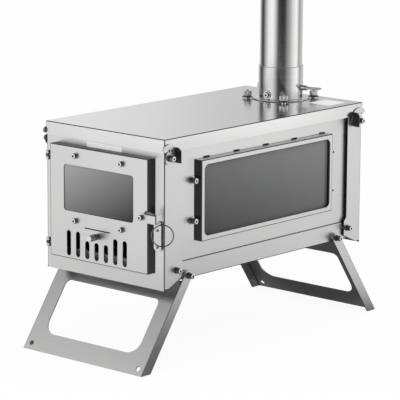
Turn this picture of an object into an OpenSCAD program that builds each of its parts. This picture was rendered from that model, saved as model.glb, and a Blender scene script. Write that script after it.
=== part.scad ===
// Freestanding wood-burning tent stove, folded from thin steel sheet and knocked down with screws and hooks.
// +Z is up, +X is the side of the door latch, -Y is the door end. The origin lies on the floor, midway
// between the pivots of the two folding legs. All lengths are in millimetres.

/* [Body] */
// Width over the skirt of the lid
body_w = 215; // [205:1:240]
// Length over the skirt of the lid
body_l = 410; // [400:1:460]
// Height from the lower edge of the end panels to the top of the lid
body_h = 200; // [196:1:230]
// Thickness of the folded body sheet
sheet_t = 0.8; // [0.6:0.1:1]
// Depth of the turned down skirt of the lid
lid_skirt_h = 18; // [14:1:22]
// Gap of the side panels and the tray behind the flanges of the end panels
side_recess = 2.8; // [2:0.2:4]
// Clearance between sheets that nest in each other
slip = 0.1; // [0.05:0.05:0.2]

/* [Base tray and end panels] */
// Height of the tray bottom over the lower edge of the end panels
tray_lift = 9; // [8.5:0.5:11]
// Height of the tray skirts
tray_skirt_h = 25; // [22:1:28]
// Depth of the side flanges of the end panels
end_flange_w = 30; // [26:1:33]
// Extra depth of those flanges at their lower ends
end_flange_foot = 5; // [3:1:6]
// Height at which the flanges start to widen
end_flange_foot_z = 40; // [38:1:50]
// Height of the slanted step from the narrow to the wide flange
end_flange_slant = 5; // [3:1:7]
// Height of the first screw of a flange over the lower edge
flange_screw_z = 24.5; // [22:0.5:28]
// Distance of that screw from the end of the front panel
front_screw_setback = 24; // [20:1:26]
// Distance of that screw from the end of the rear panel
rear_screw_setback = 29; // [25:1:31]

/* [Legs] */
// Height of the leg pivots over the floor
leg_pivot_h = 119; // [112:1:130]
// Height of the leg pivots over the lower edge of the end panels
leg_pivot_rise = 14; // [13:0.5:15.5]
// Distance of the front leg pivot from the front of the lid
front_leg_setback = 46; // [45:1:50]
// Distance of the rear leg pivot from the rear of the lid
rear_leg_setback = 54; // [52:1:58]
// Angle of the spread legs from upright
leg_angle = 34.6; // [32:0.2:38]
// Width of the side flanges of a leg
leg_flange_w = 14.6; // [13.4:0.2:15]
// Thickness of the leg sheet
leg_t = 1.5; // [1.2:0.1:2]
// Distance of the sides of a leg outside the lid
leg_overhang = 1; // [0.8:0.1:2]
// Width left on each side of the cut-out of a leg
leg_post_w = 23.5; // [20:0.5:28]
// Distance from the pivot to the upper edge of the cut-out
leg_cut_top = 42; // [38:1:50]
// Height of the strip of a leg below the cut-out
leg_foot_h = 27.6; // [24:1:34]
// Radius of the upper corners of the cut-out
leg_cut_r1 = 8; // [4:1:12]
// Radius of the lower corners of the cut-out
leg_cut_r2 = 19; // [12:1:22]
// Diameter of the holes for ground pegs
peg_hole_d = 7; // [6:0.5:8]

/* [Side windows] */
// Distance of the window box from the front of the lid
win_front = 63.5; // [60:1:68]
// Distance of the window box from the rear of the lid
win_rear = 74.5; // [70:0.5:90]
// Height of the lower edge of the window box over the end panels
win_z = 57.4; // [54:0.2:62]
// Distance of the window box under the top of the lid
win_drop = 34.6; // [30:0.2:46]
// Depth of the window box in front of the side panel
win_depth = 13; // [12:0.5:14]
// Width of the face of the window box along the sides
win_border_y = 6.6; // [6:0.2:8]
// Width of the face of the window box at top and bottom
win_border_z = 7.3; // [6.6:0.2:8]
// Radius of the corners of the cut-out
win_r = 4; // [3:0.5:5]
// Depth of the lip turned in around the cut-out
win_lip = 4.5; // [4:0.5:5]
// Thickness of the ceramic glass of all windows
glass_t = 4; // [3:0.5:4]
// Distance of the first air slot from the front of the window box
vent_first = 23.5; // [16:0.5:24]
// Distance between the air slots over the window
vent_pitch = 60; // [40:1:80]
// Length of an air slot
vent_l = 12.4; // [8:0.2:14]
// Height of an air slot
vent_h = 1.8; // [1.4:0.2:2.4]

/* [Door] */
// Distance of the hinge edge of the door from the side of the lid
door_hinge_margin = 20.5; // [19:0.5:23]
// Distance of the latch edge of the door from the side of the lid
door_latch_margin = 17.5; // [17:0.5:20]
// Height of the lower edge of the door over the end panels
door_z = 22; // [20:1:24]
// Distance of the upper edge of the door under the top of the lid
door_drop = 26; // [22:1:32]
// Depth of the door tray
door_d = 13.6; // [13:0.2:15]
// Thickness of the door sheet
door_t = 1; // [0.8:0.1:1.2]
// Width of the door beside its glass opening
pane_side = 25.35; // [24:0.05:30]
// Height of the door over its glass opening
pane_top = 24.8; // [24:0.2:28]
// Height of the lower edge of the glass opening over the door's edge
pane_z = 64.7; // [64:0.5:66]
// Radius of the corners of the glass opening
pane_r = 4.5; // [3:0.5:6]
// Number of air slots of the door
slot_count = 7; // [5:2:7]
// Distance of the middle of the outer slots from the edges of the door
slot_side = 37.5; // [34:0.5:42]
// Width of an air slot of the door
slot_w = 7.8; // [6:0.2:8]
// Height of the outer air slots
slot_h = 34.7; // [30:0.5:36]
// Height of the three air slots under the knob
slot_short_h = 24.3; // [20:0.5:25]
// Height of the lower end of the slots over the door's edge
slot_z = 3.9; // [3.5:0.1:5]
// Height of the air knob over the door's edge
knob_z = 37; // [36:0.5:38]
// Diameter of the air knob
knob_d = 8.6; // [7:0.2:10]
// Length of the air knob
knob_l = 16; // [12:1:20]
// Travel of the air slider
slider_travel = 8.5; // [7.5:0.5:8.5]
// Distance of the hinge axis from the hinge edge of the door
hinge_out = 10; // [9:0.5:11]
// Diameter of the hinge pins
hinge_pin_d = 3; // [2.5:0.5:3]
// Diameter of the hinge knuckles
hinge_knuckle_d = 6.4; // [6:0.2:7]
// Height of one hinge
hinge_h = 10.8; // [9:0.3:13]

/* [Door latch] */
// Height of the middle of the latch arm over the end panels
latch_z = 96.5; // [92:0.5:100]
// Height of the latch arm
latch_h = 12.3; // [11:0.3:14]
// Distance of the latch screw from the latch edge of the door
latch_screw_inset = 10.4; // [9.4:0.2:11.4]
// Outer diameter of the pull ring
ring_d = 30; // [24:1:32]
// Diameter of the wire of the pull ring
ring_wire = 1.6; // [1.4:0.1:1.8]
// Width of the keeper plate
keeper_w = 13; // [12:0.2:13.2]
// Height of the keeper plate
keeper_h = 36.6; // [34:0.2:40]
// Distance of the keeper's face from the front panel
keeper_out = 2.6; // [2.4:0.1:3]

/* [Corner latches] */
// Distance of the latch pivots from the ends of the lid
corner_setback = 8; // [7:0.5:9]
// Distance of the latch pivots under the top of the lid
corner_drop = 25; // [23:0.5:25.5]
// Radius of the round foot of a latch
corner_foot_r = 8.5; // [7.5:0.1:8.5]
// Distance of the keeper pin from the latch pivot
corner_pin_reach = 9.9; // [9.9:0.1:10.2]
// Outer radius of the hook
corner_hook_r = 18.5; // [17:0.5:20]
// Width of the finger tab
corner_tab_h = 20; // [16:1:22]
// Reach of the finger tab away from the stove
corner_tab_out = 10.5; // [8:0.5:11]

/* [Flue] */
// Distance of the flue from the rear of the lid
flue_rear = 50; // [48:1:70]
// Outer diameter of the stove pipe
pipe_d = 60; // [58:1:62]
// Wall of the stove pipe
pipe_t = 0.6; // [0.5:0.1:0.7]
// Height of the top of the pipe section over the lid
pipe_top = 300; // [240:5:400]
// Length of the widened socket at the top of the pipe section
socket_l = 30; // [24:1:40]
// Wall of the flue collar
collar_t = 1.2; // [1:0.1:1.4]
// Height of the flue collar over the lid
collar_h = 47; // [44:1:55]
// Radius of the flange of the flue collar
flue_flange_r = 41; // [40:0.5:42]
// Distance of the flue studs from the flue axis
stud_r = 47; // [46.5:0.5:48]
// Diameter of the thumb nuts
thumb_nut_d = 12; // [10:0.5:13]
// Height of the damper axle over the lid
damper_z = 16.5; // [16:0.5:17.5]
// Angle of the damper axle from the +X side
damper_angle = 18; // [10:1:30]

/* [Inside] */
// Height of the fire grate over the tray bottom
grate_lift = 12; // [8:1:16]
// Thickness of the fire grate
grate_t = 2; // [1.5:0.5:3]
// Distance of the baffle under the lid
baffle_drop = 26; // [24:1:28]
// Length of the baffle
baffle_l = 157.9; // [130:0.1:180]

/* [Hidden] */
$fn = 64;

steel = [0.80, 0.80, 0.81];
lid_steel = [0.84, 0.84, 0.85];
leg_steel = [0.74, 0.74, 0.75];
pipe_steel = [0.70, 0.70, 0.71];
screw_steel = [0.60, 0.60, 0.62];
dark_steel = [0.30, 0.30, 0.31];
glass_tint = [0.32, 0.33, 0.34, 0.8];

// One overrun for every cut
cut = 1;
// Clearance of a screw or pin in its hole
hole_play = 0.2;
// Clearance of a turning pin in its bore
run_play = 0.05;
// Clearance between pieces that slide or turn past each other
pass_gap = 0.3;

// Heights and lengths of the body in the frame of the part
z0 = leg_pivot_h - leg_pivot_rise;
z_tray = z0 + tray_lift;
z_lid = z0 + body_h;
pivot_y = (body_l - front_leg_setback - rear_leg_setback)/2;
y_front = -pivot_y - front_leg_setback;
y_rear = pivot_y + rear_leg_setback;
y_mid = (y_front + y_rear)/2;
x_lid = body_w/2;
x_flange = x_lid - sheet_t - slip;
x_tray = x_flange - sheet_t - side_recess;
x_side = x_tray - sheet_t - slip;
// Outer faces of the end panels, inside the lid skirt, and the ends of the tray between them
end_inset = sheet_t + slip;
tray_inset = end_inset + sheet_t + slip;
side_inset = tray_inset + sheet_t + slip;

// Sizes of the common screws
screw_d = 4;
head_d = 7.2;
head_h = 4.4;
neck_d = 6.2;
neck_h = 2.6;
washer_d = 8.8;
washer_t = 1;
socket_d = 3.4;
socket_depth = 2.2;
nut_d = 7.6;
nut_h = 3.2;

// Sizes of the legs
leg_n = leg_flange_w/2;
leg_reach = leg_pivot_h/cos(leg_angle);
leg_toe = leg_n*tan(leg_angle);
leg_x = x_lid + leg_overhang;
leg_w = 2*leg_x;
leg_stop_gap = 0.15;
leg_plate_s = ((leg_pivot_rise - tray_lift + leg_stop_gap) + leg_n*sin(leg_angle))/cos(leg_angle);
peg_inset = 10.8;
peg_rise = 9.6;
leg_side_round = leg_n;
leg_bore = screw_d + 2*run_play;

// Sizes of the window box
x_frame = x_side + win_depth;
win_l = body_l - win_front - win_rear;
win_h = body_h - win_z - win_drop;
win_y = y_front + win_front + win_l/2;
win_zc = z0 + win_z + win_h/2;
ear_r = 5.6;
ear_out_front = 5;
ear_out_rear = 7;
win_screw_z = 27;
glass_lap = 3.6;
retainer_t = 1.2;
vent_count = floor((win_l - vent_first - vent_l/2)/vent_pitch) + 1;
side_hole_lap = 2.4;

// Sizes of the door
door_left = x_lid - door_hinge_margin;
door_right = x_lid - door_latch_margin;
door_w = door_left + door_right;
door_h = body_h - door_z - door_drop;
door_x = (door_right - door_left)/2;
door_gap = 0.3;
y_panel = y_front + end_inset;
y_door_back = y_panel - door_gap;
y_door = y_door_back - door_d;
z_door = z0 + door_z;
door_lap = 7;
door_hole_r = 5;
pane_x = door_x;
pane_w = door_w - 2*pane_side;
pane_h = door_h - pane_z - pane_top;
z_pane = z_door + pane_z + pane_h/2;
pane_lap = 7.2;
pane_gap = 0.2;
pane_screw_inset = 21.3;
pane_screw_x = pane_w/2 - pane_screw_inset;
pane_screw_rise = 12.9;
pane_screw_drop = 12.1;
pane_frame_t = 1;
pane_frame_lap = 4.6;
slot_shift = -3.2;
slot_x = door_x + slot_shift;
slot_pitch = (door_w - 2*slot_side)/(slot_count - 1);
slit_w = 46;
slit_h = 1.6;
slit_z = 45.5;
stem_d = 4;
knob_foot_l = 2;
knob_foot_share = 0.8;
slider_t = 0.8;
slider_z0 = 1.6;
slider_z1 = 42.4;
slider_side = 9;
rail_lap = 1.4;
rail_h = 0.5;
hinge_x = -door_left - hinge_out;
hinge_y = y_door + door_d/2 - pass_gap;
hinge_inset_low = 10.1;
hinge_inset_high = 12.6;
knuckle_gap = 0.25;
knuckle_mid_share = 0.32;
strap_t = 1.2;
pin_head_h = 1.2;

// Sizes of the door latch
arm_t = 1;
arm_back = 7;
arm_reach = 15.2;
arm_depth = 10.8;
arm_tab_w = 20;
arm_tab_out = 7.6;
arm_tab_tilt = 45;
arm_lug_r = 3.6;
z_latch = z0 + latch_z;
latch_screw_x = door_right - latch_screw_inset;
keeper_x = door_right + 0.3;
keeper_z = 90;
keeper_t = 1;
keeper_r = 3.5;
keeper_boss_d = 6;
rivet_d = 3.6;
rivet_h = 0.9;
rivet_drop_high = 10;
rivet_drop_low = 32.4;
ring_turn = 41.6;
eye_d = 4.6;

// Sizes of the corner latches
corner_t = 1;
corner_pin_d = 2.4;
corner_pin_angle = 80;
corner_slot_from = 58;
corner_hook_end = 125;
corner_slot_r = 11.3;
corner_tab_y = 12;
corner_tab_low = 7;
corner_tab_t = 1;
corner_tab_bevel = 4;
corner_z = z_lid - corner_drop;
corner_head_gap = 0.1;

// Sizes of the flue
flue_y = y_rear - flue_rear;
collar_seat_h = 27;
collar_below = 10;
pipe_fit = 0.3;
collar_r = pipe_d/2 + pipe_fit + collar_t;
bead_h = 2;
bead_in = 1.1;
flange_t = 1.5;
lid_hole_play = 0.3;
socket_play = 0.2;
stud_d = 4;
stud_foot_r = 3.6;
stud_top = 12;
thumb_washer_r = 7.6;
thumb_nut_h = 8;
collar_screw_angle = -87;
collar_screw_z = 7.8;
collar_screw_d = 12;
damper_clear = 0.8;
damper_t = 1.2;
axle_d = 4;
boss_d = 8;
boss_l = 2.6;
hub_d = 7;
hub_l = 6;
loop_reach = 62;
loop_w = 11;
loop_wire = 2.2;
damper_rivet_x = 16;
damper_rivet_d = 2;
damper_rivet_h = 0.8;

// Sizes of the pieces inside
grate_margin = 4;
grate_slot_w = 8;
grate_slot_pitch = 20;
grate_bar = 13.6;
grate_rim = 50;
grate_foot = 10;
baffle_t = 1.5;
bracket_w = 12;
bracket_h = 6;
bracket_t = 1;
bracket_inset = 20;

// A flat rectangle with round corners, middle on the origin
module round_rect(w, h, r) {
    union() {
        square([w - 2*r, h], center = true);
        square([w, h - 2*r], center = true);
        for (sx = [-1, 1], sy = [-1, 1])
            translate([sx*(w/2 - r), sy*(h/2 - r)]) circle(r = r);
    }
}

// Turns a shape that points up so that it points out of the left side (-1) or the right side (1)
module to_side(side) {
    rotate([0, side*90, 0]) children();
}

// Turns a shape that points up so that it points to the front
module to_front() {
    rotate([90, 0, 0]) children();
}

// A flat outline drawn in length and height, thickness t outward from the plane x on one side
module side_sheet(side, x, t) {
    translate([side*(side > 0 ? x : x + t), 0, 0]) rotate([90, 0, 90]) linear_extrude(t) children();
}

// A flat outline drawn in width and height, thickness t rearward from the plane y
module front_sheet(y, t) {
    translate([0, y + t, 0]) rotate([90, 0, 0]) linear_extrude(t) children();
}

// Socket head cap screw with washer and collar, seat on the origin, head up, shank down
module cap_screw(shank) {
    difference() {
        union() {
            cylinder(d = washer_d, h = washer_t);
            cylinder(d = neck_d, h = washer_t + neck_h);
            translate([0, 0, washer_t + neck_h]) cylinder(d = head_d, h = head_h);
            translate([0, 0, -shank]) cylinder(d = screw_d, h = shank + washer_t);
        }
        translate([0, 0, washer_t + neck_h + head_h - socket_depth])
            cylinder(d = socket_d, h = socket_depth + cut, $fn = 6);
    }
}

// Hexagonal nut around a shank, seat on the origin, standing down
module back_nut() {
    translate([0, 0, -nut_h]) difference() {
        cylinder(d = nut_d, h = nut_h, $fn = 6);
        translate([0, 0, -cut]) cylinder(d = screw_d, h = nut_h + 2*cut);
    }
}

// Places of the screws that hold the flanges to the tray, and of the leg pivots
panel_screw_ys = [y_front + front_screw_setback, y_rear - rear_screw_setback];
leg_pivot_ys = [-pivot_y, pivot_y];
panel_screw_z = z0 + flange_screw_z;

// Holes through both sides of the body for the flange screws and the leg pivots
module side_screw_holes() {
    for (side = [-1, 1]) {
        for (y = panel_screw_ys)
            translate([0, y, panel_screw_z]) to_side(side) cylinder(d = screw_d + hole_play, h = body_w);
        for (y = leg_pivot_ys)
            translate([0, y, leg_pivot_h]) to_side(side) cylinder(d = screw_d + hole_play, h = body_w);
    }
}

module base_tray() {
    tray_l = body_l - 2*tray_inset;
    color(steel) difference() {
        translate([-x_tray, y_front + tray_inset, z_tray]) cube([2*x_tray, tray_l, tray_skirt_h]);
        translate([-x_tray + sheet_t, y_front + tray_inset + sheet_t, z_tray + sheet_t])
            cube([2*(x_tray - sheet_t), tray_l - 2*sheet_t, tray_skirt_h]);
        side_screw_holes();
    }
}

// Outline of the opening of a side panel behind its window box
module side_opening() {
    translate([win_y, win_zc])
        square([win_l - 2*(sheet_t + side_hole_lap), win_h - 2*(sheet_t + side_hole_lap)], center = true);
}

// Places of the window screws along the length and the height
win_screw_ys = [win_y - win_l/2 - ear_out_front, win_y + win_l/2 + ear_out_rear];
win_screw_zs = [win_zc - win_screw_z, win_zc + win_screw_z];

module side_panel(side) {
    panel_z = z_tray + sheet_t + slip;
    panel_top = z_lid - sheet_t - slip;
    panel_y = y_front + side_inset;
    panel_l = body_l - 2*side_inset;
    rim_y = y_front + end_flange_w + end_flange_foot;
    rim_l = body_l - 2*(end_flange_w + end_flange_foot);
    vent_y = y_front + win_front + vent_first;
    color(steel) difference() {
        union() {
            side_sheet(side, x_side - sheet_t, sheet_t) difference() {
                translate([panel_y, panel_z]) square([panel_l, panel_top - panel_z]);
                side_opening();
                for (i = [0 : vent_count - 1])
                    translate([vent_y + i*vent_pitch - vent_l/2, win_zc + win_h/2 + slip])
                        square([vent_l, vent_h]);
                for (y = win_screw_ys, z = win_screw_zs)
                    translate([y, z]) circle(d = screw_d + hole_play);
            }
            // The upper edge is turned out to carry the lid
            side_sheet(side, x_side - sheet_t, x_flange - x_side + sheet_t)
                translate([rim_y, panel_top - sheet_t]) square([rim_l, sheet_t]);
        }
        side_screw_holes();
    }
}

module side_panel_left() { side_panel(-1); }
module side_panel_right() { side_panel(1); }

// Side flange of an end panel in length and height, its end face on the origin, growing to the rear
module end_flange_outline() {
    foot = end_flange_w + end_flange_foot;
    // The lower edge rises towards the leg, in shares of the leg pivot's height
    low_share = 0.18;
    high_share = 1.04;
    flat_share = 0.24;
    polygon([[0, 0], [sheet_t, 0], [sheet_t, low_share*leg_pivot_rise],
        [flat_share*foot, low_share*leg_pivot_rise], [foot - sheet_t, high_share*leg_pivot_rise],
        [foot, high_share*leg_pivot_rise + sheet_t], [foot, end_flange_foot_z - end_flange_slant],
        [end_flange_w, end_flange_foot_z], [end_flange_w, body_h - sheet_t - slip],
        [0, body_h - sheet_t - slip]]);
}

// An end panel with its two flanges, seen as the front one
module end_panel(setback) {
    screw_y = setback - end_inset;
    difference() {
        union() {
            translate([-x_flange, 0, 0]) cube([2*x_flange, sheet_t, body_h - sheet_t - slip]);
            for (side = [-1, 1]) side_sheet(side, x_flange - sheet_t, sheet_t) end_flange_outline();
        }
        for (side = [-1, 1]) {
            translate([0, screw_y, flange_screw_z]) to_side(side)
                cylinder(d = screw_d + hole_play, h = body_w);
            translate([0, corner_setback - end_inset, body_h - corner_drop]) to_side(side)
                cylinder(d = screw_d + hole_play, h = body_w);
        }
    }
}

module front_panel() {
    hole_w = door_w - 2*door_lap;
    hole_h = door_h - 2*door_lap;
    color(steel) difference() {
        translate([0, y_panel, z0]) end_panel(front_screw_setback);
        front_sheet(y_panel - cut, sheet_t + 2*cut)
            translate([door_x, z_door + door_h/2]) round_rect(hole_w, hole_h, door_hole_r);
        keeper_holes();
    }
}

module rear_panel() {
    color(steel) translate([0, y_rear - end_inset, z0]) mirror([0, 1, 0]) end_panel(rear_screw_setback);
}

module top_plate() {
    color(lid_steel) difference() {
        translate([-x_lid, y_front, z_lid - lid_skirt_h]) cube([body_w, body_l, lid_skirt_h]);
        translate([-x_lid + sheet_t, y_front + sheet_t, z_lid - lid_skirt_h - cut])
            cube([body_w - 2*sheet_t, body_l - 2*sheet_t, lid_skirt_h - sheet_t + cut]);
        translate([0, flue_y, z_lid - sheet_t - cut])
            cylinder(r = collar_r + lid_hole_play, h = sheet_t + 2*cut);
        flue_stud_places() translate([0, 0, z_lid - sheet_t - cut])
            cylinder(d = stud_d + hole_play, h = sheet_t + 2*cut);
        corner_places() translate([0, corner_pin_y(), corner_pin_z()]) to_side(1)
            cylinder(d = corner_pin_d, h = 2*body_w, center = true);
    }
}

// Window box: face with a cut-out, walls back to the side panel, a lip turned in, and four ears
module window_frame(side) {
    face_w = win_l - 2*win_border_y;
    face_h = win_h - 2*win_border_z;
    color(steel) translate([0, win_y, win_zc]) difference() {
        union() {
            side_sheet(side, x_frame - sheet_t, sheet_t) square([win_l, win_h], center = true);
            side_sheet(side, x_side, win_depth) difference() {
                square([win_l, win_h], center = true);
                square([win_l - 2*sheet_t, win_h - 2*sheet_t], center = true);
            }
            side_sheet(side, x_frame - win_lip, win_lip)
                round_rect(face_w + 2*sheet_t, face_h + 2*sheet_t, win_r + sheet_t);
            for (y = win_screw_ys, z = win_screw_zs) window_ear(side, y - win_y, z - win_zc);
        }
        side_sheet(side, x_side - cut, win_depth + 2*cut) round_rect(face_w, face_h, win_r);
        for (y = win_screw_ys, z = win_screw_zs)
            side_sheet(side, x_side - cut, sheet_t + 2*cut) translate([y - win_y, z - win_zc])
                circle(d = screw_d + hole_play);
    }
}

// One ear of the window box around a screw at y, z from the middle of the window
module window_ear(side, y, z) {
    toward = y > 0 ? -1 : 1;
    reach = abs(y) - win_l/2 + sheet_t;
    side_sheet(side, x_side, sheet_t) translate([y, z]) {
        circle(r = ear_r);
        translate([toward > 0 ? 0 : -reach, -ear_r]) square([reach, 2*ear_r]);
    }
}

module window_frame_left() { window_frame(-1); }
module window_frame_right() { window_frame(1); }

// Plane of the back of a side glass
x_glass = x_frame - win_lip - glass_t;
side_glass_w = win_l - 2*(win_border_y - glass_lap);
side_glass_h = win_h - 2*(win_border_z - glass_lap);

module window_glass(side) {
    color(glass_tint) side_sheet(side, x_glass, glass_t) translate([win_y, win_zc])
        square([side_glass_w, side_glass_h], center = true);
}

module window_glass_left() { window_glass(-1); }
module window_glass_right() { window_glass(1); }

// Frame that presses a side glass against the lip, standing on the side panel
module window_retainer(side) {
    color(steel) translate([0, win_y, win_zc]) {
        side_sheet(side, x_side, x_glass - x_side) difference() {
            square([side_glass_w, side_glass_h], center = true);
            square([side_glass_w - 2*retainer_t, side_glass_h - 2*retainer_t], center = true);
        }
    }
}

module window_retainer_left() { window_retainer(-1); }
module window_retainer_right() { window_retainer(1); }

module window_screws() {
    shank = 2*sheet_t + nut_h;
    color(screw_steel) for (side = [-1, 1], y = win_screw_ys, z = win_screw_zs)
        translate([side*(x_side + sheet_t), y, z]) to_side(side) {
            cap_screw(shank);
            translate([0, 0, -2*sheet_t]) back_nut();
        }
}

module panel_screws() {
    spacer = x_flange - sheet_t - x_tray;
    shank = x_flange - x_side + sheet_t + nut_h;
    color(screw_steel) for (side = [-1, 1], y = panel_screw_ys)
        translate([side*x_flange, y, panel_screw_z]) to_side(side) {
            cap_screw(shank);
            translate([0, 0, -sheet_t - spacer]) cylinder(d = neck_d, h = spacer);
            translate([0, 0, x_side - x_flange - sheet_t]) back_nut();
        }
}

module leg_pivot_screws() {
    seat = leg_x + slip;
    shank = seat - x_side + sheet_t + nut_h;
    color(screw_steel) for (side = [-1, 1], y = leg_pivot_ys)
        translate([side*seat, y, leg_pivot_h]) to_side(side) {
            cap_screw(shank);
            translate([0, 0, x_side - seat - sheet_t]) back_nut();
        }
}

// Bushes that keep the legs clear of the tray skirts
module leg_pivot_bushes() {
    bush_l = leg_x - leg_t - slip - x_tray;
    color(screw_steel) for (side = [-1, 1], y = leg_pivot_ys)
        translate([side*x_tray, y, leg_pivot_h]) to_side(side) difference() {
            cylinder(d = washer_d, h = bush_l);
            translate([0, 0, -cut]) cylinder(d = screw_d, h = bush_l + 2*cut);
        }
}

// A leg, pivot on the origin, seen as the front one: s runs down the leg, n out of its plate
module leg() {
    end_s = leg_reach + leg_toe;
    plate_l = end_s - leg_plate_s;
    side_cut = leg_flange_w + end_s;
    difference() {
        rotate([180 - leg_angle, 0, 0]) difference() {
            union() {
                for (side = [-1, 1]) translate([side > 0 ? leg_x - leg_t : -leg_x, 0, 0])
                    rotate([90, 0, 90]) linear_extrude(leg_t) {
                        circle(r = leg_side_round);
                        translate([-leg_n, 0]) square([leg_flange_w, end_s]);
                    }
                translate([-leg_x, leg_n - leg_t, leg_plate_s]) cube([leg_w, leg_t, plate_l]);
            }
            for (side = [-1, 1]) translate([side*leg_x, 0, 0]) rotate([0, 90, 0])
                cylinder(d = leg_bore, h = 4*leg_t, center = true);
            translate([0, leg_n + cut, 0]) rotate([90, 0, 0]) linear_extrude(leg_t + 2*cut) leg_cut_out();
            for (side = [-1, 1]) translate([side*(leg_x - peg_inset), leg_n + cut, end_s - peg_rise])
                rotate([90, 0, 0]) cylinder(d = peg_hole_d, h = leg_t + 2*cut);
        }
        translate([-leg_w, -side_cut, -leg_pivot_h - side_cut]) cube([2*leg_w, 2*side_cut, side_cut]);
    }
}

// Cut-out of a leg, in width and distance from the pivot
module leg_cut_out() {
    w = leg_w - 2*leg_post_w;
    top = leg_cut_top;
    low = leg_reach + leg_toe - leg_foot_h;
    union() {
        translate([-w/2, top + leg_cut_r1]) square([w, low - top - leg_cut_r1 - leg_cut_r2]);
        translate([-w/2 + leg_cut_r1, top]) square([w - 2*leg_cut_r1, leg_cut_r1 + cut]);
        translate([-w/2 + leg_cut_r2, low - leg_cut_r2 - cut]) square([w - 2*leg_cut_r2, leg_cut_r2 + cut]);
        for (s = [-1, 1]) {
            translate([s*(w/2 - leg_cut_r1), top + leg_cut_r1]) circle(r = leg_cut_r1);
            translate([s*(w/2 - leg_cut_r2), low - leg_cut_r2]) circle(r = leg_cut_r2);
        }
    }
}

module front_leg() {
    color(leg_steel) translate([0, -pivot_y, leg_pivot_h]) leg();
}

module rear_leg() {
    color(leg_steel) translate([0, pivot_y, leg_pivot_h]) mirror([0, 1, 0]) leg();
}

// Places of the corner latches along the stove: children are drawn at the front and mirrored at the rear
module corner_places() {
    translate([0, y_front + corner_setback, 0]) children();
    translate([0, y_rear - corner_setback, 0]) mirror([0, 1, 0]) children();
}

function corner_pin_y() = corner_pin_reach*cos(corner_pin_angle);
function corner_pin_z() = corner_z + corner_pin_reach*sin(corner_pin_angle);

// Plane of the back of the corner latches
x_corner = x_lid + pass_gap;

module corner_latch_screws() {
    seat = x_corner + corner_t + corner_head_gap;
    spacer = x_corner - corner_head_gap - x_flange;
    shank = seat - x_flange + sheet_t + nut_h;
    color(screw_steel) for (side = [-1, 1]) corner_places()
        translate([side*seat, 0, corner_z]) to_side(side) {
            cap_screw(shank);
            translate([0, 0, x_flange - seat]) cylinder(d = neck_d, h = spacer);
            translate([0, 0, x_flange - seat - sheet_t]) back_nut();
        }
}

module corner_keeper_pins() {
    pin_l = x_corner + corner_t + corner_head_gap - x_lid + 2*sheet_t;
    color(screw_steel) for (side = [-1, 1]) corner_places()
        translate([side*(x_lid - sheet_t), corner_pin_y(), corner_pin_z()]) to_side(side)
            cylinder(d = corner_pin_d, h = pin_l);
}

// Hook plate in length and height, pivot on the origin, the end of the stove on the left
module corner_hook_outline() {
    band = (corner_hook_r + corner_slot_r)/2;
    band_w = corner_hook_r - corner_slot_r;
    far = 2*corner_hook_r;
    difference() {
        union() {
            circle(r = corner_foot_r);
            difference() {
                circle(r = corner_hook_r);
                circle(r = corner_slot_r);
                // Only the sector from the tab to the hook's end is kept
                polygon([[0, 0], far*[cos(corner_hook_end), sin(corner_hook_end)], [-far, far], [-far, -far],
                    [far, -far], [far, 0]]);
            }
            // Web from the foot to the hook on the tab's side
            intersection() {
                circle(r = corner_hook_r);
                polygon([[0, 0], far*[1, 0], far*[1, 1],
                    far*[cos(corner_slot_from), sin(corner_slot_from)]]);
            }
            translate([0, -corner_tab_low]) square([corner_tab_y, corner_tab_h]);
            rotate(corner_hook_end) translate([band, 0]) circle(d = band_w);
        }
        difference() {
            circle(r = corner_slot_r);
            circle(r = corner_foot_r);
            polygon([[0, 0], far*[cos(corner_slot_from), sin(corner_slot_from)], [far, -far], [-far, -far],
                [-far, 0]]);
        }
        circle(d = screw_d + 2*run_play);
    }
}

// A corner latch for the front end of one side
module corner_latch(side) {
    tab_z = corner_z - corner_tab_low;
    color(steel) {
        translate([0, 0, corner_z]) side_sheet(side, x_corner, corner_t) corner_hook_outline();
        translate([0, corner_tab_y, 0]) rotate([90, 0, 0]) linear_extrude(corner_tab_t, center = true)
            polygon([[side*x_corner, tab_z], [side*(x_corner + corner_tab_out), tab_z],
                [side*(x_corner + corner_tab_out), tab_z + corner_tab_h - corner_tab_bevel],
                [side*(x_corner + corner_tab_out/2), tab_z + corner_tab_h],
                [side*x_corner, tab_z + corner_tab_h]]);
    }
}

module corner_latch_front_left() { translate([0, y_front + corner_setback, 0]) corner_latch(-1); }
module corner_latch_front_right() { translate([0, y_front + corner_setback, 0]) corner_latch(1); }
module corner_latch_rear_left() {
    translate([0, y_rear - corner_setback, 0]) mirror([0, 1, 0]) corner_latch(-1);
}
module corner_latch_rear_right() {
    translate([0, y_rear - corner_setback, 0]) mirror([0, 1, 0]) corner_latch(1);
}

// Four studs on the diagonals round the flue
module flue_stud_places() {
    for (a = [45, 135, 225, 315]) translate([stud_r*cos(a), flue_y + stud_r*sin(a), 0]) children();
}

// Turns to a bearing round the flue axis at a height over the lid, +X outward
module flue_bearing(angle, z) {
    translate([0, flue_y, z_lid + z]) rotate([0, 0, angle]) children();
}

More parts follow.
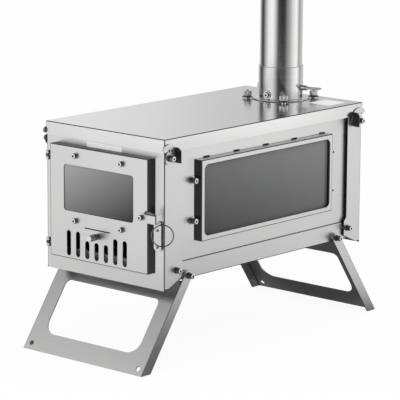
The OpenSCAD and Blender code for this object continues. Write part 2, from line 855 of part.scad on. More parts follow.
module flue_collar() {
    color(pipe_steel) difference() {
        union() {
            translate([0, flue_y, z_lid - collar_below]) cylinder(r = collar_r, h = collar_below + collar_h);
            translate([0, flue_y, z_lid]) cylinder(r = flue_flange_r, h = flange_t);
            for (end = [0, 180]) flue_bearing(damper_angle + end, damper_z) to_side(1)
                cylinder(d = boss_d, h = collar_r + boss_l);
        }
        translate([0, flue_y, z_lid - collar_below - cut])
            cylinder(r = pipe_d/2 + pipe_fit - bead_in, h = collar_below + collar_h + 2*cut);
        translate([0, flue_y, z_lid - collar_below - cut])
            cylinder(r = pipe_d/2 + pipe_fit, h = collar_below + collar_seat_h - bead_h + cut);
        translate([0, flue_y, z_lid + collar_seat_h])
            cylinder(r = pipe_d/2 + pipe_fit, h = collar_h);
        flue_bearing(damper_angle, damper_z) rotate([0, 90, 0])
            cylinder(d = axle_d + 2*run_play, h = 4*collar_r, center = true);
    }
}

module flue_studs() {
    color(screw_steel) flue_stud_places() {
        translate([0, 0, z_lid - sheet_t - nut_h]) cylinder(d = nut_d, h = nut_h, $fn = 6);
        translate([0, 0, z_lid - sheet_t]) cylinder(d = stud_d, h = sheet_t + stud_top);
        translate([0, 0, z_lid]) cylinder(r = stud_foot_r, h = flange_t);
    }
}

module flue_thumb_nuts() {
    color(screw_steel) flue_stud_places() translate([0, 0, z_lid + flange_t]) difference() {
        union() {
            cylinder(r = thumb_washer_r, h = washer_t);
            translate([0, 0, washer_t]) cylinder(d = thumb_nut_d, h = thumb_nut_h);
        }
        translate([0, 0, -cut]) cylinder(d = stud_d, h = thumb_nut_h + washer_t + 2*cut);
    }
}

// Large round screw on the front of the collar
module collar_screw() {
    color(screw_steel) flue_bearing(collar_screw_angle, collar_screw_z) difference() {
        to_side(1) union() {
            cylinder(d = collar_screw_d, h = collar_r + washer_t);
            cylinder(d = head_d, h = collar_r + washer_t + neck_h);
        }
        translate([0, 0, -collar_h]) cylinder(r = collar_r, h = 2*collar_h);
    }
}

// Radius of the damper disc, free inside the bead of the collar
damper_r = pipe_d/2 + pipe_fit - bead_in - damper_clear;
axle_end = collar_r + boss_l + slip;

module damper_disc() {
    color(dark_steel) flue_bearing(damper_angle, damper_z) difference() {
        cylinder(r = damper_r, h = damper_t);
        for (x = [-1, 1]) translate([x*damper_rivet_x, 0, -cut])
            cylinder(d = damper_rivet_d, h = damper_t + 2*cut);
    }
}

// Axle with a flat on which the disc sits
module damper_axle() {
    flat_l = 2*damper_r + slip;
    color(screw_steel) flue_bearing(damper_angle, damper_z) difference() {
        translate([-axle_end, 0, 0]) rotate([0, 90, 0]) cylinder(d = axle_d, h = 2*axle_end + hub_l);
        translate([-flat_l/2, -axle_d, 0]) cube([flat_l, 2*axle_d, axle_d]);
        for (x = [-1, 1]) translate([x*damper_rivet_x, 0, -axle_d])
            cylinder(d = damper_rivet_d, h = 2*axle_d);
    }
}

module damper_rivets() {
    color(screw_steel) flue_bearing(damper_angle, damper_z) for (x = [-1, 1])
        translate([x*damper_rivet_x, 0, 0]) {
            translate([0, 0, -axle_d/2]) cylinder(d = damper_rivet_d, h = axle_d/2 + damper_t);
            translate([0, 0, damper_t]) cylinder(d = 2*damper_rivet_d, h = damper_rivet_h);
        }
}

// Wire loop with the hub that is pressed on the axle
module damper_handle() {
    r = (loop_w - loop_wire)/2;
    near = axle_end + hub_l/2;
    far = loop_reach - r - loop_wire/2;
    color(screw_steel) flue_bearing(damper_angle, damper_z) difference() {
        union() {
            translate([axle_end, 0, 0]) rotate([0, 90, 0]) cylinder(d = hub_d, h = hub_l);
            for (s = [-1, 1]) translate([near, s*r, 0]) rotate([0, 90, 0])
                cylinder(d = loop_wire, h = far - near);
            translate([far, 0, 0]) rotate([0, 0, -90]) rotate_extrude(angle = 180)
                translate([r, 0]) circle(d = loop_wire);
            translate([near, 0, 0]) rotate([90, 0, 0]) cylinder(d = loop_wire, h = 2*r, center = true);
            for (s = [-1, 1]) translate([near, s*r, 0]) sphere(d = loop_wire);
        }
        translate([axle_end - cut, 0, 0]) rotate([0, 90, 0]) cylinder(d = axle_d, h = hub_l + cut);
    }
}

// One section of stove pipe, standing on the bead of the collar, with a socket for the next section
module flue_pipe() {
    low = z_lid + collar_seat_h + slip;
    top = z_lid + pipe_top;
    bore_r = pipe_d/2 - pipe_t;
    socket_r = pipe_d/2 + socket_play;
    neck_z = top - socket_l - 2*pipe_t;
    color(pipe_steel) difference() {
        union() {
            translate([0, flue_y, low]) cylinder(r = pipe_d/2, h = neck_z - low + pipe_t);
            translate([0, flue_y, neck_z]) cylinder(r = socket_r + pipe_t, h = top - neck_z);
        }
        translate([0, flue_y, low - cut]) cylinder(r = bore_r, h = top - low + 2*cut);
        translate([0, flue_y, top - socket_l]) cylinder(r = socket_r, h = socket_l + cut);
    }
}

// Heights of the lower ends of the two hinges
hinge_zs = [z_door + hinge_inset_low, z_door + door_h - hinge_inset_high - hinge_h];
knuckle_h = knuckle_mid_share*hinge_h;
lug_h = (hinge_h - knuckle_h)/2 - knuckle_gap;

// Two fixed lugs for each hinge, on a strap against the front panel
module hinge_lugs() {
    strap_w = hinge_knuckle_d;
    color(steel) for (z = hinge_zs) difference() {
        union() {
            for (lift = [0, hinge_h - lug_h]) translate([hinge_x, hinge_y, z + lift]) {
                cylinder(d = hinge_knuckle_d, h = lug_h);
                translate([-strap_w/2, 0, 0]) cube([strap_w, y_panel - hinge_y, lug_h]);
            }
            translate([hinge_x - strap_w/2, y_panel - strap_t, z]) cube([strap_w, strap_t, hinge_h]);
        }
        translate([hinge_x, hinge_y, z - cut]) cylinder(d = hinge_pin_d, h = hinge_h + 2*cut);
    }
}

module hinge_pins() {
    color(screw_steel) for (z = hinge_zs) translate([hinge_x, hinge_y, z]) {
        translate([0, 0, -pin_head_h]) cylinder(d = hinge_knuckle_d - pin_head_h, h = pin_head_h);
        cylinder(d = hinge_pin_d, h = hinge_h);
        translate([0, 0, hinge_h]) cylinder(d = hinge_knuckle_d - pin_head_h, h = pin_head_h);
    }
}

// Places of the air slots, shared by the door and the slider
function slot_place(i) = slot_x + (i - (slot_count - 1)/2)*slot_pitch;
function slot_is_short(i) = abs(i - (slot_count - 1)/2) < 2;

module air_slots() {
    for (i = [0 : slot_count - 1]) translate([slot_place(i), 0]) {
        h = slot_is_short(i) ? slot_short_h : slot_h;
        translate([-slot_w/2, slot_z + slot_w/2]) square([slot_w, h - slot_w]);
        for (z = [slot_z + slot_w/2, slot_z + h - slot_w/2]) translate([0, z]) circle(d = slot_w);
    }
}

// Places of the four door window screws
pane_screw_zs = [z_pane - pane_h/2 - pane_screw_drop, z_pane + pane_h/2 + pane_screw_rise];

module door_shell() {
    knuckle_strap = hinge_out - hinge_knuckle_d/2;
    color(steel) {
        difference() {
            translate([-door_left, y_door, z_door]) cube([door_w, door_d, door_h]);
            translate([-door_left + door_t, y_door + door_t, z_door + door_t])
                cube([door_w - 2*door_t, door_d, door_h - 2*door_t]);
            front_sheet(y_door - cut, door_t + 2*cut) translate([pane_x, z_pane])
                round_rect(pane_w, pane_h, pane_r);
            front_sheet(y_door - cut, door_t + 2*cut) translate([0, z_door]) {
                air_slots();
                translate([-slit_w/2, slit_z - slit_h/2]) square([slit_w, slit_h]);
                translate([0, knob_z]) knob_slot();
            }
            for (s = [-1, 1], z = pane_screw_zs) translate([pane_x + s*pane_screw_x, y_door - cut, z])
                rotate([-90, 0, 0]) cylinder(d = screw_d + hole_play, h = door_t + 2*cut);
            translate([latch_screw_x, y_door - cut, z_latch]) rotate([-90, 0, 0])
                cylinder(d = screw_d + hole_play, h = door_t + 2*cut);
        }
        for (z = hinge_zs) difference() {
            translate([0, 0, z + lug_h + knuckle_gap]) union() {
                translate([hinge_x, hinge_y, 0]) cylinder(d = hinge_knuckle_d, h = knuckle_h);
                translate([hinge_x, hinge_y - strap_t/2, 0])
                    cube([hinge_out + door_t/2, strap_t, knuckle_h]);
            }
            translate([hinge_x, hinge_y, z]) cylinder(d = hinge_pin_d + 2*run_play, h = hinge_h);
        }
    }
}

// Slot in which the stem of the air knob travels
module knob_slot() {
    w = stem_d + 2*hole_play;
    translate([-slider_travel, -w/2]) square([slider_travel, w]);
    for (x = [-slider_travel, 0]) translate([x, 0]) circle(d = w);
}

// The glass lies against the inside of the door's front
y_pane = y_door + door_t + pane_gap;

module door_glass() {
    color(glass_tint) front_sheet(y_pane, glass_t) translate([pane_x, z_pane])
        square([pane_w + 2*pane_lap, pane_h + 2*pane_lap], center = true);
}

// Frame plate behind the door glass, held by the four screws
module door_retainer() {
    frame_h = pane_h + 2*(pane_lap + pane_frame_lap + washer_d/2);
    color(steel) front_sheet(y_pane + glass_t, pane_frame_t) difference() {
        translate([pane_x, z_pane]) square([pane_w + 2*pane_lap, frame_h], center = true);
        translate([pane_x, z_pane]) round_rect(pane_w, pane_h, pane_r);
        for (s = [-1, 1], z = pane_screw_zs) translate([pane_x + s*pane_screw_x, z])
            circle(d = screw_d + hole_play);
    }
}

module door_window_screws() {
    stack = door_t + pane_gap + glass_t + pane_frame_t;
    sleeve = pane_gap + glass_t;
    color(screw_steel) for (s = [-1, 1], z = pane_screw_zs)
        translate([pane_x + s*pane_screw_x, y_door, z]) to_front() {
            difference() {
                union() {
                    cylinder(d = head_d, h = head_h);
                    translate([0, 0, -stack - nut_h]) cylinder(d = screw_d, h = stack + nut_h);
                    translate([0, 0, -door_t - sleeve]) cylinder(d = neck_d, h = sleeve);
                }
                translate([0, 0, head_h - socket_depth])
                    cylinder(d = socket_d, h = socket_depth + cut, $fn = 6);
            }
            translate([0, 0, -stack]) back_nut();
        }
}

// Plate of the air slider, in width and height from the door's lower edge
slider_y = y_door + door_t + slip;

module air_slider() {
    half = slot_pitch*(slot_count - 1)/2 + slot_w/2 + slider_side;
    color(steel) front_sheet(slider_y, slider_t) translate([0, z_door]) difference() {
        translate([slot_x - half, door_t + slider_z0]) square([2*half, slider_z1 - door_t - slider_z0]);
        air_slots();
        translate([0, knob_z]) circle(d = stem_d);
    }
}

// Two rails spot welded behind the door's front, lipped over the edges of the slider
module slider_rails() {
    half = slot_pitch*(slot_count - 1)/2 + slot_w/2 + slider_side + slider_travel;
    step = slider_t + 2*slip;
    y = y_door + door_t;
    color(steel) for (edge = [[slider_z0 + door_t, 1], [slider_z1, -1]]) {
        seat = z_door + edge[0] - edge[1]*slip;
        low = edge[1] > 0 ? seat - rail_h : seat;
        lip_low = edge[1] > 0 ? seat - rail_h : seat - rail_lap;
        translate([slot_x - half, y, low]) cube([2*half, step, rail_h]);
        translate([slot_x - half, y + step, lip_low]) cube([2*half, slider_t, rail_h + rail_lap]);
    }
}

// Knob with a stem through the door, riveted to the slider
module air_knob() {
    color(screw_steel) translate([0, 0, z_door + knob_z]) {
        translate([0, y_door - pass_gap, 0]) to_front() union() {
            cylinder(d = knob_d*knob_foot_share, h = knob_foot_l);
            translate([0, 0, knob_foot_l]) cylinder(d = knob_d, h = knob_l - knob_foot_l);
        }
        translate([0, slider_y + slider_t, 0]) to_front()
            cylinder(d = stem_d, h = slider_y + slider_t - y_door + pass_gap);
    }
}

// Latch arm: strip pivoted on the door, bent back at its end beside the keeper, with a thumb tab and a lug
arm_x = door_right + arm_reach;
y_arm = y_door - slip;
eye_x = arm_x + eye_d/2;
eye_y = y_arm - arm_t + arm_depth - arm_t/2;
z_arm = z_latch - latch_h/2;
eye_z = z_arm;

module latch_arm() {
    x0 = latch_screw_x - arm_back;
    color(steel) difference() {
        union() {
            translate([x0 + latch_h/2, y_arm - arm_t, z_arm]) cube([arm_x - x0 - latch_h/2, arm_t, latch_h]);
            translate([x0 + latch_h/2, y_arm, z_latch]) to_front() cylinder(d = latch_h, h = arm_t);
            translate([arm_x - arm_t, y_arm - arm_t, z_arm]) cube([arm_t, arm_depth, latch_h]);
            // Lug with the eye of the pull ring
            translate([arm_x - arm_t, eye_y + arm_t/2, 0]) to_front() linear_extrude(arm_t) {
                translate([arm_t + eye_d/2, eye_z]) circle(r = arm_lug_r);
                translate([0, z_arm]) square([arm_t + eye_d/2, arm_lug_r]);
            }
            // Thumb tab, a segment of a disc that leans forward from the upper edge
            translate([arm_x - arm_tab_w/2, y_arm, z_arm + latch_h]) rotate([arm_tab_tilt, 0, 0])
                to_front() linear_extrude(arm_t) disc_segment(arm_tab_w, arm_tab_out);
        }
        translate([latch_screw_x, y_arm + cut, z_latch]) to_front()
            cylinder(d = screw_d + 2*run_play, h = arm_t + 2*cut);
        translate([eye_x, eye_y + arm_t, eye_z]) to_front() cylinder(d = eye_d, h = 2*arm_t);
    }
}

// Segment of a disc over a chord of width w on the origin, rising by out
module disc_segment(w, out) {
    r = (w*w/4 + out*out)/(2*out);
    intersection() {
        translate([0, out - r]) circle(r = r);
        translate([-w, 0]) square([2*w, 2*out]);
    }
}

module latch_screw() {
    gap = arm_t + 2*slip;
    color(screw_steel) translate([latch_screw_x, y_door - gap, z_latch]) to_front() {
        difference() {
            union() {
                cylinder(d = head_d, h = head_h);
                translate([0, 0, -gap - door_t - nut_h]) cylinder(d = screw_d, h = gap + door_t + nut_h);
            }
            translate([0, 0, head_h - socket_depth]) cylinder(d = socket_d, h = socket_depth + cut, $fn = 6);
        }
        translate([0, 0, -gap - door_t]) back_nut();
    }
}

// Wire ring that hangs in the eye of the latch arm
ring_r = (ring_d - ring_wire)/2;
z_ring_top = eye_z - (eye_d - ring_wire)/2 + pass_gap;

module pull_ring() {
    color(screw_steel) translate([eye_x, eye_y, z_ring_top - ring_r]) rotate([0, 0, ring_turn])
        to_front() rotate_extrude() translate([ring_r, 0]) circle(d = ring_wire, $fn = 24);
}

// Keeper: tongue held off the front panel by two bosses
module latch_keeper() {
    color(steel) difference() {
        union() {
            front_sheet(y_panel - keeper_out, keeper_t) keeper_outline();
            for (drop = [rivet_drop_high, rivet_drop_low]) keeper_rivet_place(drop)
                cylinder(d = keeper_boss_d, h = keeper_out - keeper_t/2);
        }
        keeper_holes();
    }
}

module keeper_outline() {
    translate([keeper_x, z0 + keeper_z]) {
        translate([0, keeper_r - keeper_h]) square([keeper_w, keeper_h - keeper_r]);
        translate([keeper_r, -keeper_h]) square([keeper_w - 2*keeper_r, keeper_r]);
        for (dx = [keeper_r, keeper_w - keeper_r]) translate([dx, keeper_r - keeper_h]) circle(r = keeper_r);
    }
}

// Turns children out of the front panel at a rivet of the keeper
module keeper_rivet_place(drop) {
    translate([keeper_x + keeper_w/2, y_panel, z0 + keeper_z - drop]) to_front() children();
}

// Holes for the two rivets of the keeper
module keeper_holes() {
    for (drop = [rivet_drop_high, rivet_drop_low]) keeper_rivet_place(drop)
        translate([0, 0, -sheet_t - cut]) cylinder(d = rivet_d/2, h = sheet_t + keeper_out + 2*cut);
}

module keeper_rivets() {
    color(screw_steel) for (drop = [rivet_drop_high, rivet_drop_low]) keeper_rivet_place(drop) {
        translate([0, 0, -sheet_t - rivet_h]) cylinder(d = rivet_d, h = rivet_h);
        translate([0, 0, -sheet_t - rivet_h]) cylinder(d = rivet_d/2, h = rivet_h + sheet_t + keeper_out);
        translate([0, 0, keeper_out]) cylinder(d = rivet_d, h = rivet_h);
    }
}

// Cast grate on six feet, standing in the tray
module fire_grate() {
    w = 2*(x_side - sheet_t - grate_margin);
    l = body_l - 2*(side_inset + grate_margin + nut_h);
    z = z_tray + sheet_t + grate_lift;
    slots = floor((l - 2*grate_rim)/grate_slot_pitch);
    slot_l = w/2 - 2*grate_bar;
    color(dark_steel) {
        difference() {
            translate([-w/2, y_mid - l/2, z]) cube([w, l, grate_t]);
            for (i = [0 : slots - 1], s = [-1, 1])
                translate([s*w/4, y_mid + (i - (slots - 1)/2)*grate_slot_pitch, z + grate_t/2])
                    cube([slot_l, grate_slot_w, grate_t + 2*cut], center = true);
        }
        for (sx = [-1, 1], sy = [-1, 0, 1])
            translate([sx*(w/2 - grate_foot), y_mid + sy*(l/2 - grate_foot), z_tray + sheet_t])
                cylinder(d = grate_foot, h = grate_lift);
    }
}

// Flame baffle under the flue, lying on its brackets
z_baffle = z_lid - baffle_drop;
baffle_end = y_rear - tray_inset - pass_gap;

module baffle_plate() {
    color(dark_steel) translate([-x_side + sheet_t + slip, baffle_end - baffle_l, z_baffle])
        cube([2*(x_side - sheet_t - slip), baffle_l, baffle_t]);
}

module baffle_brackets() {
    l = baffle_l - 2*bracket_inset;
    color(dark_steel) for (side = [-1, 1]) translate([0, baffle_end - baffle_l + bracket_inset, 0]) {
        side_sheet(side, x_side - sheet_t - bracket_w, bracket_w)
            translate([0, z_baffle - bracket_t]) square([l, bracket_t]);
        side_sheet(side, x_side - sheet_t - bracket_t, bracket_t)
            translate([0, z_baffle - bracket_h]) square([l, bracket_h]);
    }
}

base_tray();
side_panel_left();
side_panel_right();
front_panel();
rear_panel();
top_plate();
window_frame_left();
window_frame_right();
window_glass_left();
window_glass_right();
window_retainer_left();
window_retainer_right();
window_screws();
panel_screws();
leg_pivot_screws();
leg_pivot_bushes();
corner_latch_screws();
corner_keeper_pins();
flue_collar();
flue_studs();
flue_thumb_nuts();
collar_screw();
hinge_lugs();
hinge_pins();
latch_keeper();
keeper_rivets();
fire_grate();
baffle_plate();
baffle_brackets();
door_shell();
door_glass();
door_retainer();
door_window_screws();
latch_arm();
latch_screw();
slider_rails();
air_slider();
air_knob();
pull_ring();
front_leg();
rear_leg();
damper_disc();
damper_axle();
damper_handle();
damper_rivets();
corner_latch_front_left();
corner_latch_front_right();
corner_latch_rear_left();
corner_latch_rear_right();
flue_pipe();
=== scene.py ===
"""Looks of a folding wood-burning tent stove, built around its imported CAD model. Lengths are in metres."""

import math

import bmesh
import bpy
import numpy as np
from mathutils import Matrix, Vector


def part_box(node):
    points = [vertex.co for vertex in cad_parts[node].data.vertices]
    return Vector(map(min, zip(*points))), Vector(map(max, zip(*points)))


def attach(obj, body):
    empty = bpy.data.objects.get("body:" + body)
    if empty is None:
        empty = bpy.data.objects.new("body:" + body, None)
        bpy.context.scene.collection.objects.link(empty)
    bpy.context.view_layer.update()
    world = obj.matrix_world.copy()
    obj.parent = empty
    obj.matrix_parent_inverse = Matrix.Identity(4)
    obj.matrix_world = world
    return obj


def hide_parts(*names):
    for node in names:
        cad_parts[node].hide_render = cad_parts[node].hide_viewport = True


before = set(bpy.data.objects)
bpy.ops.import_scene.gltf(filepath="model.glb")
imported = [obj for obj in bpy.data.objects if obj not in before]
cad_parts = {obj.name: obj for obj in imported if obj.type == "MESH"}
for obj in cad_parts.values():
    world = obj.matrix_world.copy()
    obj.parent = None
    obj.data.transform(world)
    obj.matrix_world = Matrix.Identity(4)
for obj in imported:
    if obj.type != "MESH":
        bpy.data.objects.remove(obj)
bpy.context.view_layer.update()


# Base tray. It is folded from thin stainless sheet with a satin brushed face, and carries the ash, the
# grate and the legs. The sheet is bent to a round of about its own thickness and its cut edges are broken.
mm = 0.001
sheet_t = 0.8 * mm
fold_round = 0.78 * mm
edge_break = 0.3 * mm
# A strip this wide along each fold, and along upper rims, is painted dark as shade.
fold_shade_strip = 1.1 * mm
fold_angle = math.radians(25)
wide_share = 1.3
squarely = 0.9
inside_share = 0.3
steel_tone = (0.632, 0.632, 0.627)
# Tones of the shade painted along folds and rims, and of the walls painted near black as shade.
fold_shade_tone = (0.10, 0.10, 0.10)
wall_shade_tone = (0.07, 0.07, 0.07)


def linear(*values):
    """Colour in linear light, with the alpha that Blender's sockets ask for."""
    return (*values, 1.0)


def new_material(name):
    """A new node material, its nodes and its links."""
    material = bpy.data.materials.new(name)
    material.use_nodes = True
    return material, material.node_tree.nodes, material.node_tree.links


def noise(nodes, scale, detail):
    """A noise texture of a given scale and detail."""
    texture = nodes.new("ShaderNodeTexNoise")
    texture.inputs["Scale"].default_value = scale
    texture.inputs["Detail"].default_value = detail
    return texture


def tone_ramp(nodes, low, dark, high, pale):
    """A colour ramp from a dark tone at place low to a pale one at place high."""
    ramp = nodes.new("ShaderNodeValToRGB")
    for end, place, tone in ((0, low, dark), (1, high, pale)):
        ramp.color_ramp.elements[end].position = place
        ramp.color_ramp.elements[end].color = linear(*tone)
    return ramp


def brushed_steel(name, tone, rough, grain, depth=0.12, spread=0.05):
    """Brushed steel: noise stretched along the grain sets fine lines in colour, gloss and height, and a slow
    cloud adds the uneven gloss of handled sheet. Grain holds the lines per metre along X, Y and Z."""
    steel, nodes, links = new_material(name)
    shader = nodes["Principled BSDF"]
    shader.inputs["Metallic"].default_value = 1.0
    place = nodes.new("ShaderNodeTexCoord")
    stretch = nodes.new("ShaderNodeMapping")
    stretch.inputs["Scale"].default_value = grain
    lines = noise(nodes, 1.0, 4.0)
    lines.inputs["Roughness"].default_value = 0.65
    clouds = noise(nodes, 12.0, 3.0)
    links.new(place.outputs["Object"], stretch.inputs["Vector"])
    links.new(stretch.outputs["Vector"], lines.inputs["Vector"])
    links.new(place.outputs["Object"], clouds.inputs["Vector"])
    blend = nodes.new("ShaderNodeMix")
    blend.inputs["Factor"].default_value = 0.35
    links.new(lines.outputs["Fac"], blend.inputs["A"])
    links.new(clouds.outputs["Fac"], blend.inputs["B"])
    tint = tone_ramp(nodes, 0.3, [c * 0.94 for c in tone], 0.7, [min(c * 1.04, 1.0) for c in tone])
    links.new(blend.outputs["Result"], tint.inputs["Fac"])
    links.new(tint.outputs["Color"], shader.inputs["Base Color"])
    gloss = nodes.new("ShaderNodeMapRange")
    gloss.inputs["From Min"].default_value = 0.3
    gloss.inputs["From Max"].default_value = 0.7
    gloss.inputs["To Min"].default_value = rough - spread
    gloss.inputs["To Max"].default_value = rough + spread
    links.new(blend.outputs["Result"], gloss.inputs["Value"])
    links.new(gloss.outputs["Result"], shader.inputs["Roughness"])
    relief = nodes.new("ShaderNodeBump")
    relief.inputs["Strength"].default_value = depth
    relief.inputs["Distance"].default_value = 0.05 * mm
    links.new(lines.outputs["Fac"], relief.inputs["Height"])
    links.new(relief.outputs["Normal"], shader.inputs["Normal"])
    return steel


def dressed(shape, body, slot, finishes, *stands_for):
    """Gives a new piece its finishes and hands it to the frame: its body and the nodes it replaces. The slot
    is not used.
    """
    for finish in finishes:
        shape.data.materials.append(finish)
    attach(shape, body)
    if stands_for:
        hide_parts(*stands_for)


def flat_regions(bm, turn=math.radians(1)):
    """Numbers the flat regions of a mesh and gives each one's mean width, twice its area over its outline."""
    region, widths = {}, []
    for seed in bm.faces:
        if seed in region:
            continue
        region[seed], stack, area, outline = len(widths), [seed], 0.0, 0.0
        while stack:
            face = stack.pop()
            area += face.calc_area()
            for edge in face.edges:
                near = [f for f in edge.link_faces if f is not face]
                flat = near and face.normal.angle(near[0].normal, 0) < turn
                if not flat:
                    outline += edge.calc_length()
                elif near[0] not in region:
                    region[near[0]] = len(widths)
                    stack.append(near[0])
        widths.append(2 * area / outline)
    return region, widths


def merged(node):
    """A working copy of a node with the corners of its triangles joined."""
    bm = bmesh.new()
    bm.from_mesh(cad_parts[node].data)
    bm.faces.layers.int.new("flat")
    bm.edges.layers.float.new("bevel_weight_edge")
    bmesh.ops.remove_doubles(bm, verts=bm.verts, dist=0.001 * mm)
    return bm


def fold_lines(bm, sheet):
    """The edges between two flats that are both clearly wider than the sheet is thick, the number of each
    face's flat, and the widths of the flats."""
    region, widths = flat_regions(bm)
    lines = [line for line in bm.edges if len(line.link_faces) == 2
             and line.calc_face_angle(0) > fold_angle
             and min(widths[region[f]] for f in line.link_faces) > wide_share * sheet]
    return lines, region, widths


def sliced(bm, faces, place, out):
    """Cuts some faces with a plane and marks the cut as a seam."""
    parts = faces + list({e for f in faces for e in f.edges}) + list({v for f in faces for v in f.verts})
    cut = bmesh.ops.bisect_plane(bm, geom=parts, dist=0.001 * mm, plane_co=place, plane_no=out)
    for piece in cut["geom_cut"]:
        if isinstance(piece, bmesh.types.BMEdge):
            piece.seam = True


def fold_shade_strips(bm, sheet, rims):
    """Cuts a strip off the flats along both sides of every fold, and of every upper rim where rims is true,
    and gives it the second finish: a dark line painted there as shade."""
    lines, region, widths = fold_lines(bm, sheet)
    if rims:
        narrow = {f for f in bm.faces if f.normal.z > squarely and widths[region[f]] < wide_share * sheet}
        lines += [line for line in bm.edges if len(line.link_faces) == 2
                  and line.calc_face_angle(0) > fold_angle and narrow.intersection(line.link_faces)]
    flat = bm.faces.layers.int["flat"]
    for face, number in region.items():
        face[flat] = number
    cuts = {}
    for line in lines:
        start = line.verts[0].co.copy()
        along = (line.verts[1].co - start).normalized()
        ends = sorted(v.co.dot(along) for v in line.verts)
        for face in line.link_faces:
            into = face.normal.cross(along)
            if into.dot(face.calc_center_median() - start) < 0:
                into.negate()
            key = (region[face], *(round(c, 2) for c in into), round(into.dot(start) / mm, 2))
            if key in cuts:
                ends = [v * cuts[key][1].dot(along) for v in ends]
                cuts[key][3] = min(cuts[key][3], *ends)
                cuts[key][4] = max(cuts[key][4], *ends)
            else:
                cuts[key] = [start, along, into, *ends]

    for (number, *_), (start, along, into, low, high) in cuts.items():
        def strip():
            return [f for f in bm.faces if f[flat] == number
                    and 0 < into.dot(f.calc_center_median() - start) < fold_shade_strip]

        sliced(bm, [f for f in bm.faces if f[flat] == number], start + into * fold_shade_strip, into)
        for end in (low, high):
            sliced(bm, strip(), start + along * (end - start.dot(along)), along)
        for face in strip():
            if low < face.calc_center_median().dot(along) < high:
                face.material_index = 1


def rounded(bm, node, width, clamp):
    """A new object from a working copy: flats joined up to their seams, weighted edges rounded."""
    bmesh.ops.dissolve_limit(bm, angle_limit=math.radians(0.5), verts=bm.verts, edges=bm.edges,
                             delimit={"MATERIAL", "SEAM"})
    weight = bm.edges.layers.float["bevel_weight_edge"]
    for line in bm.edges:
        if len(line.link_faces) == 2 and line.calc_face_angle(0) > fold_angle and line[weight] == 0:
            line.smooth = False
    data = bpy.data.meshes.new(node + "_shape")
    bm.to_mesh(data)
    bm.free()
    for face in data.polygons:
        face.use_smooth = True
    shape = bpy.data.objects.new(node + "_shape", data)
    bpy.context.collection.objects.link(shape)
    round_off = shape.modifiers.new("rounds", "BEVEL")
    round_off.limit_method = "WEIGHT"
    round_off.width = width
    round_off.segments = 3
    round_off.use_clamp_overlap = clamp
    round_off.loop_slide = clamp
    round_off.miter_outer = "MITER_ARC"
    return flats_kept(shape)


def folded(node, bend=fold_round, sheet=sheet_t, shaded_walls=(), rims=False):
    """A copy of a sheet metal node with its folds rounded. Flats take the first finish; strips along the
    folds and the cut rims take the second, a dark line painted as shade; and walls that look along one of the
    given axes take the third, painted near black as shade."""
    bm = merged(node)
    fold_shade_strips(bm, sheet, rims)
    lines, region, widths = fold_lines(bm, sheet)
    for face in bm.faces:
        if widths[region[face]] < wide_share * sheet:
            face.material_index = 1
        elif face.material_index == 0 and any(abs(face.normal[axis]) > squarely for axis in shaded_walls):
            face.material_index = 2
    weight = bm.edges.layers.float["bevel_weight_edge"]
    for line in lines:
        line[weight] = 1.0 if line.is_convex else inside_share
    return rounded(bm, node, bend, False)


def eased(node, width):
    """A copy of a solid node with every edge rounded alike."""
    bm = merged(node)
    weight = bm.edges.layers.float["bevel_weight_edge"]
    for line in bm.edges:
        if len(line.link_faces) == 2 and line.calc_face_angle(0) > fold_angle:
            line[weight] = 1.0
    return rounded(bm, node, width, True)


def flats_kept(shape):
    """Shades a rounded piece so that its large flats stay flat and only the rounds between them bend."""
    flats = shape.modifiers.new("flats stay flat", "WEIGHTED_NORMAL")
    flats.mode = "FACE_AREA"
    flats.weight = 100
    flats.keep_sharp = True
    return shape


level_grain = (14.0, 14.0, 2600.0)
brushed_sheet = brushed_steel("brushed_sheet", steel_tone, 0.36, level_grain, depth=0.02, spread=0.02)
# The second finish paints dark shade along folds and rims, the third paints near black shade on walls.
painted_fold_shade = brushed_steel("painted_fold_shade", fold_shade_tone, 0.42, level_grain, depth=0.05)
painted_wall_shade = brushed_steel("painted_wall_shade", wall_shade_tone, 0.4, level_grain)
sheet_finishes = (brushed_sheet, painted_fold_shade, painted_wall_shade)


def sheet_part(node, shape, body="stove_body"):
    """Hands over a piece of brushed sheet in place of its node."""
    dressed(shape, body, "brushed_sheet", sheet_finishes, node)


# The tray's upper rims also get the painted shade line.
sheet_part("base_tray", folded("base_tray", rims=True))


# End panels and side panels. The end panels wrap round the corners with deep flanges; the side panels stand
# in the tray behind them, with a row of air slots over the window. Same brushed sheet as the tray.
for panel in ("front_panel", "rear_panel", "side_panel_left", "side_panel_right"):
    sheet_part(panel, folded(panel))


# Lid. One sheet with a skirt turned down all round, brushed along the stove and a little glossier than the
# rest, so that it mirrors the flue and its nuts.
lid_tone = (0.64, 0.64, 0.635)
long_grain = (1000.0, 9.0, 1000.0)
lid_sheet = brushed_steel("lid_sheet", lid_tone, 0.17, long_grain, depth=0.06, spread=0.03)
# Its folds carry the same painted shade line.
lid_finishes = (lid_sheet, painted_fold_shade)
dressed(folded("top_plate"), "stove_body", "lid_sheet", lid_finishes, "top_plate")


# Window boxes. Shallow folded frames screwed to the side panels by four ears, with a lip turned in round the
# opening, and an angled frame behind that presses the glass to the lip.
for side in ("left", "right"):
    # The front and rear walls of each window box are painted near black as shade.
    frame_box = folded("window_frame_" + side, shaded_walls=(1,))
    sheet_part("window_frame_" + side, frame_box)
    retainer = eased("window_retainer_" + side, edge_break)
    sheet_part("window_retainer_" + side, retainer)


# Window and door glasses. Ceramic glass with a polished face that mirrors the room and edges ground with a
# small chamfer. Its colour is a painted reflection over painted shade: dark, growing paler towards the top
# and one side.
glass_chamfer = 0.4 * mm


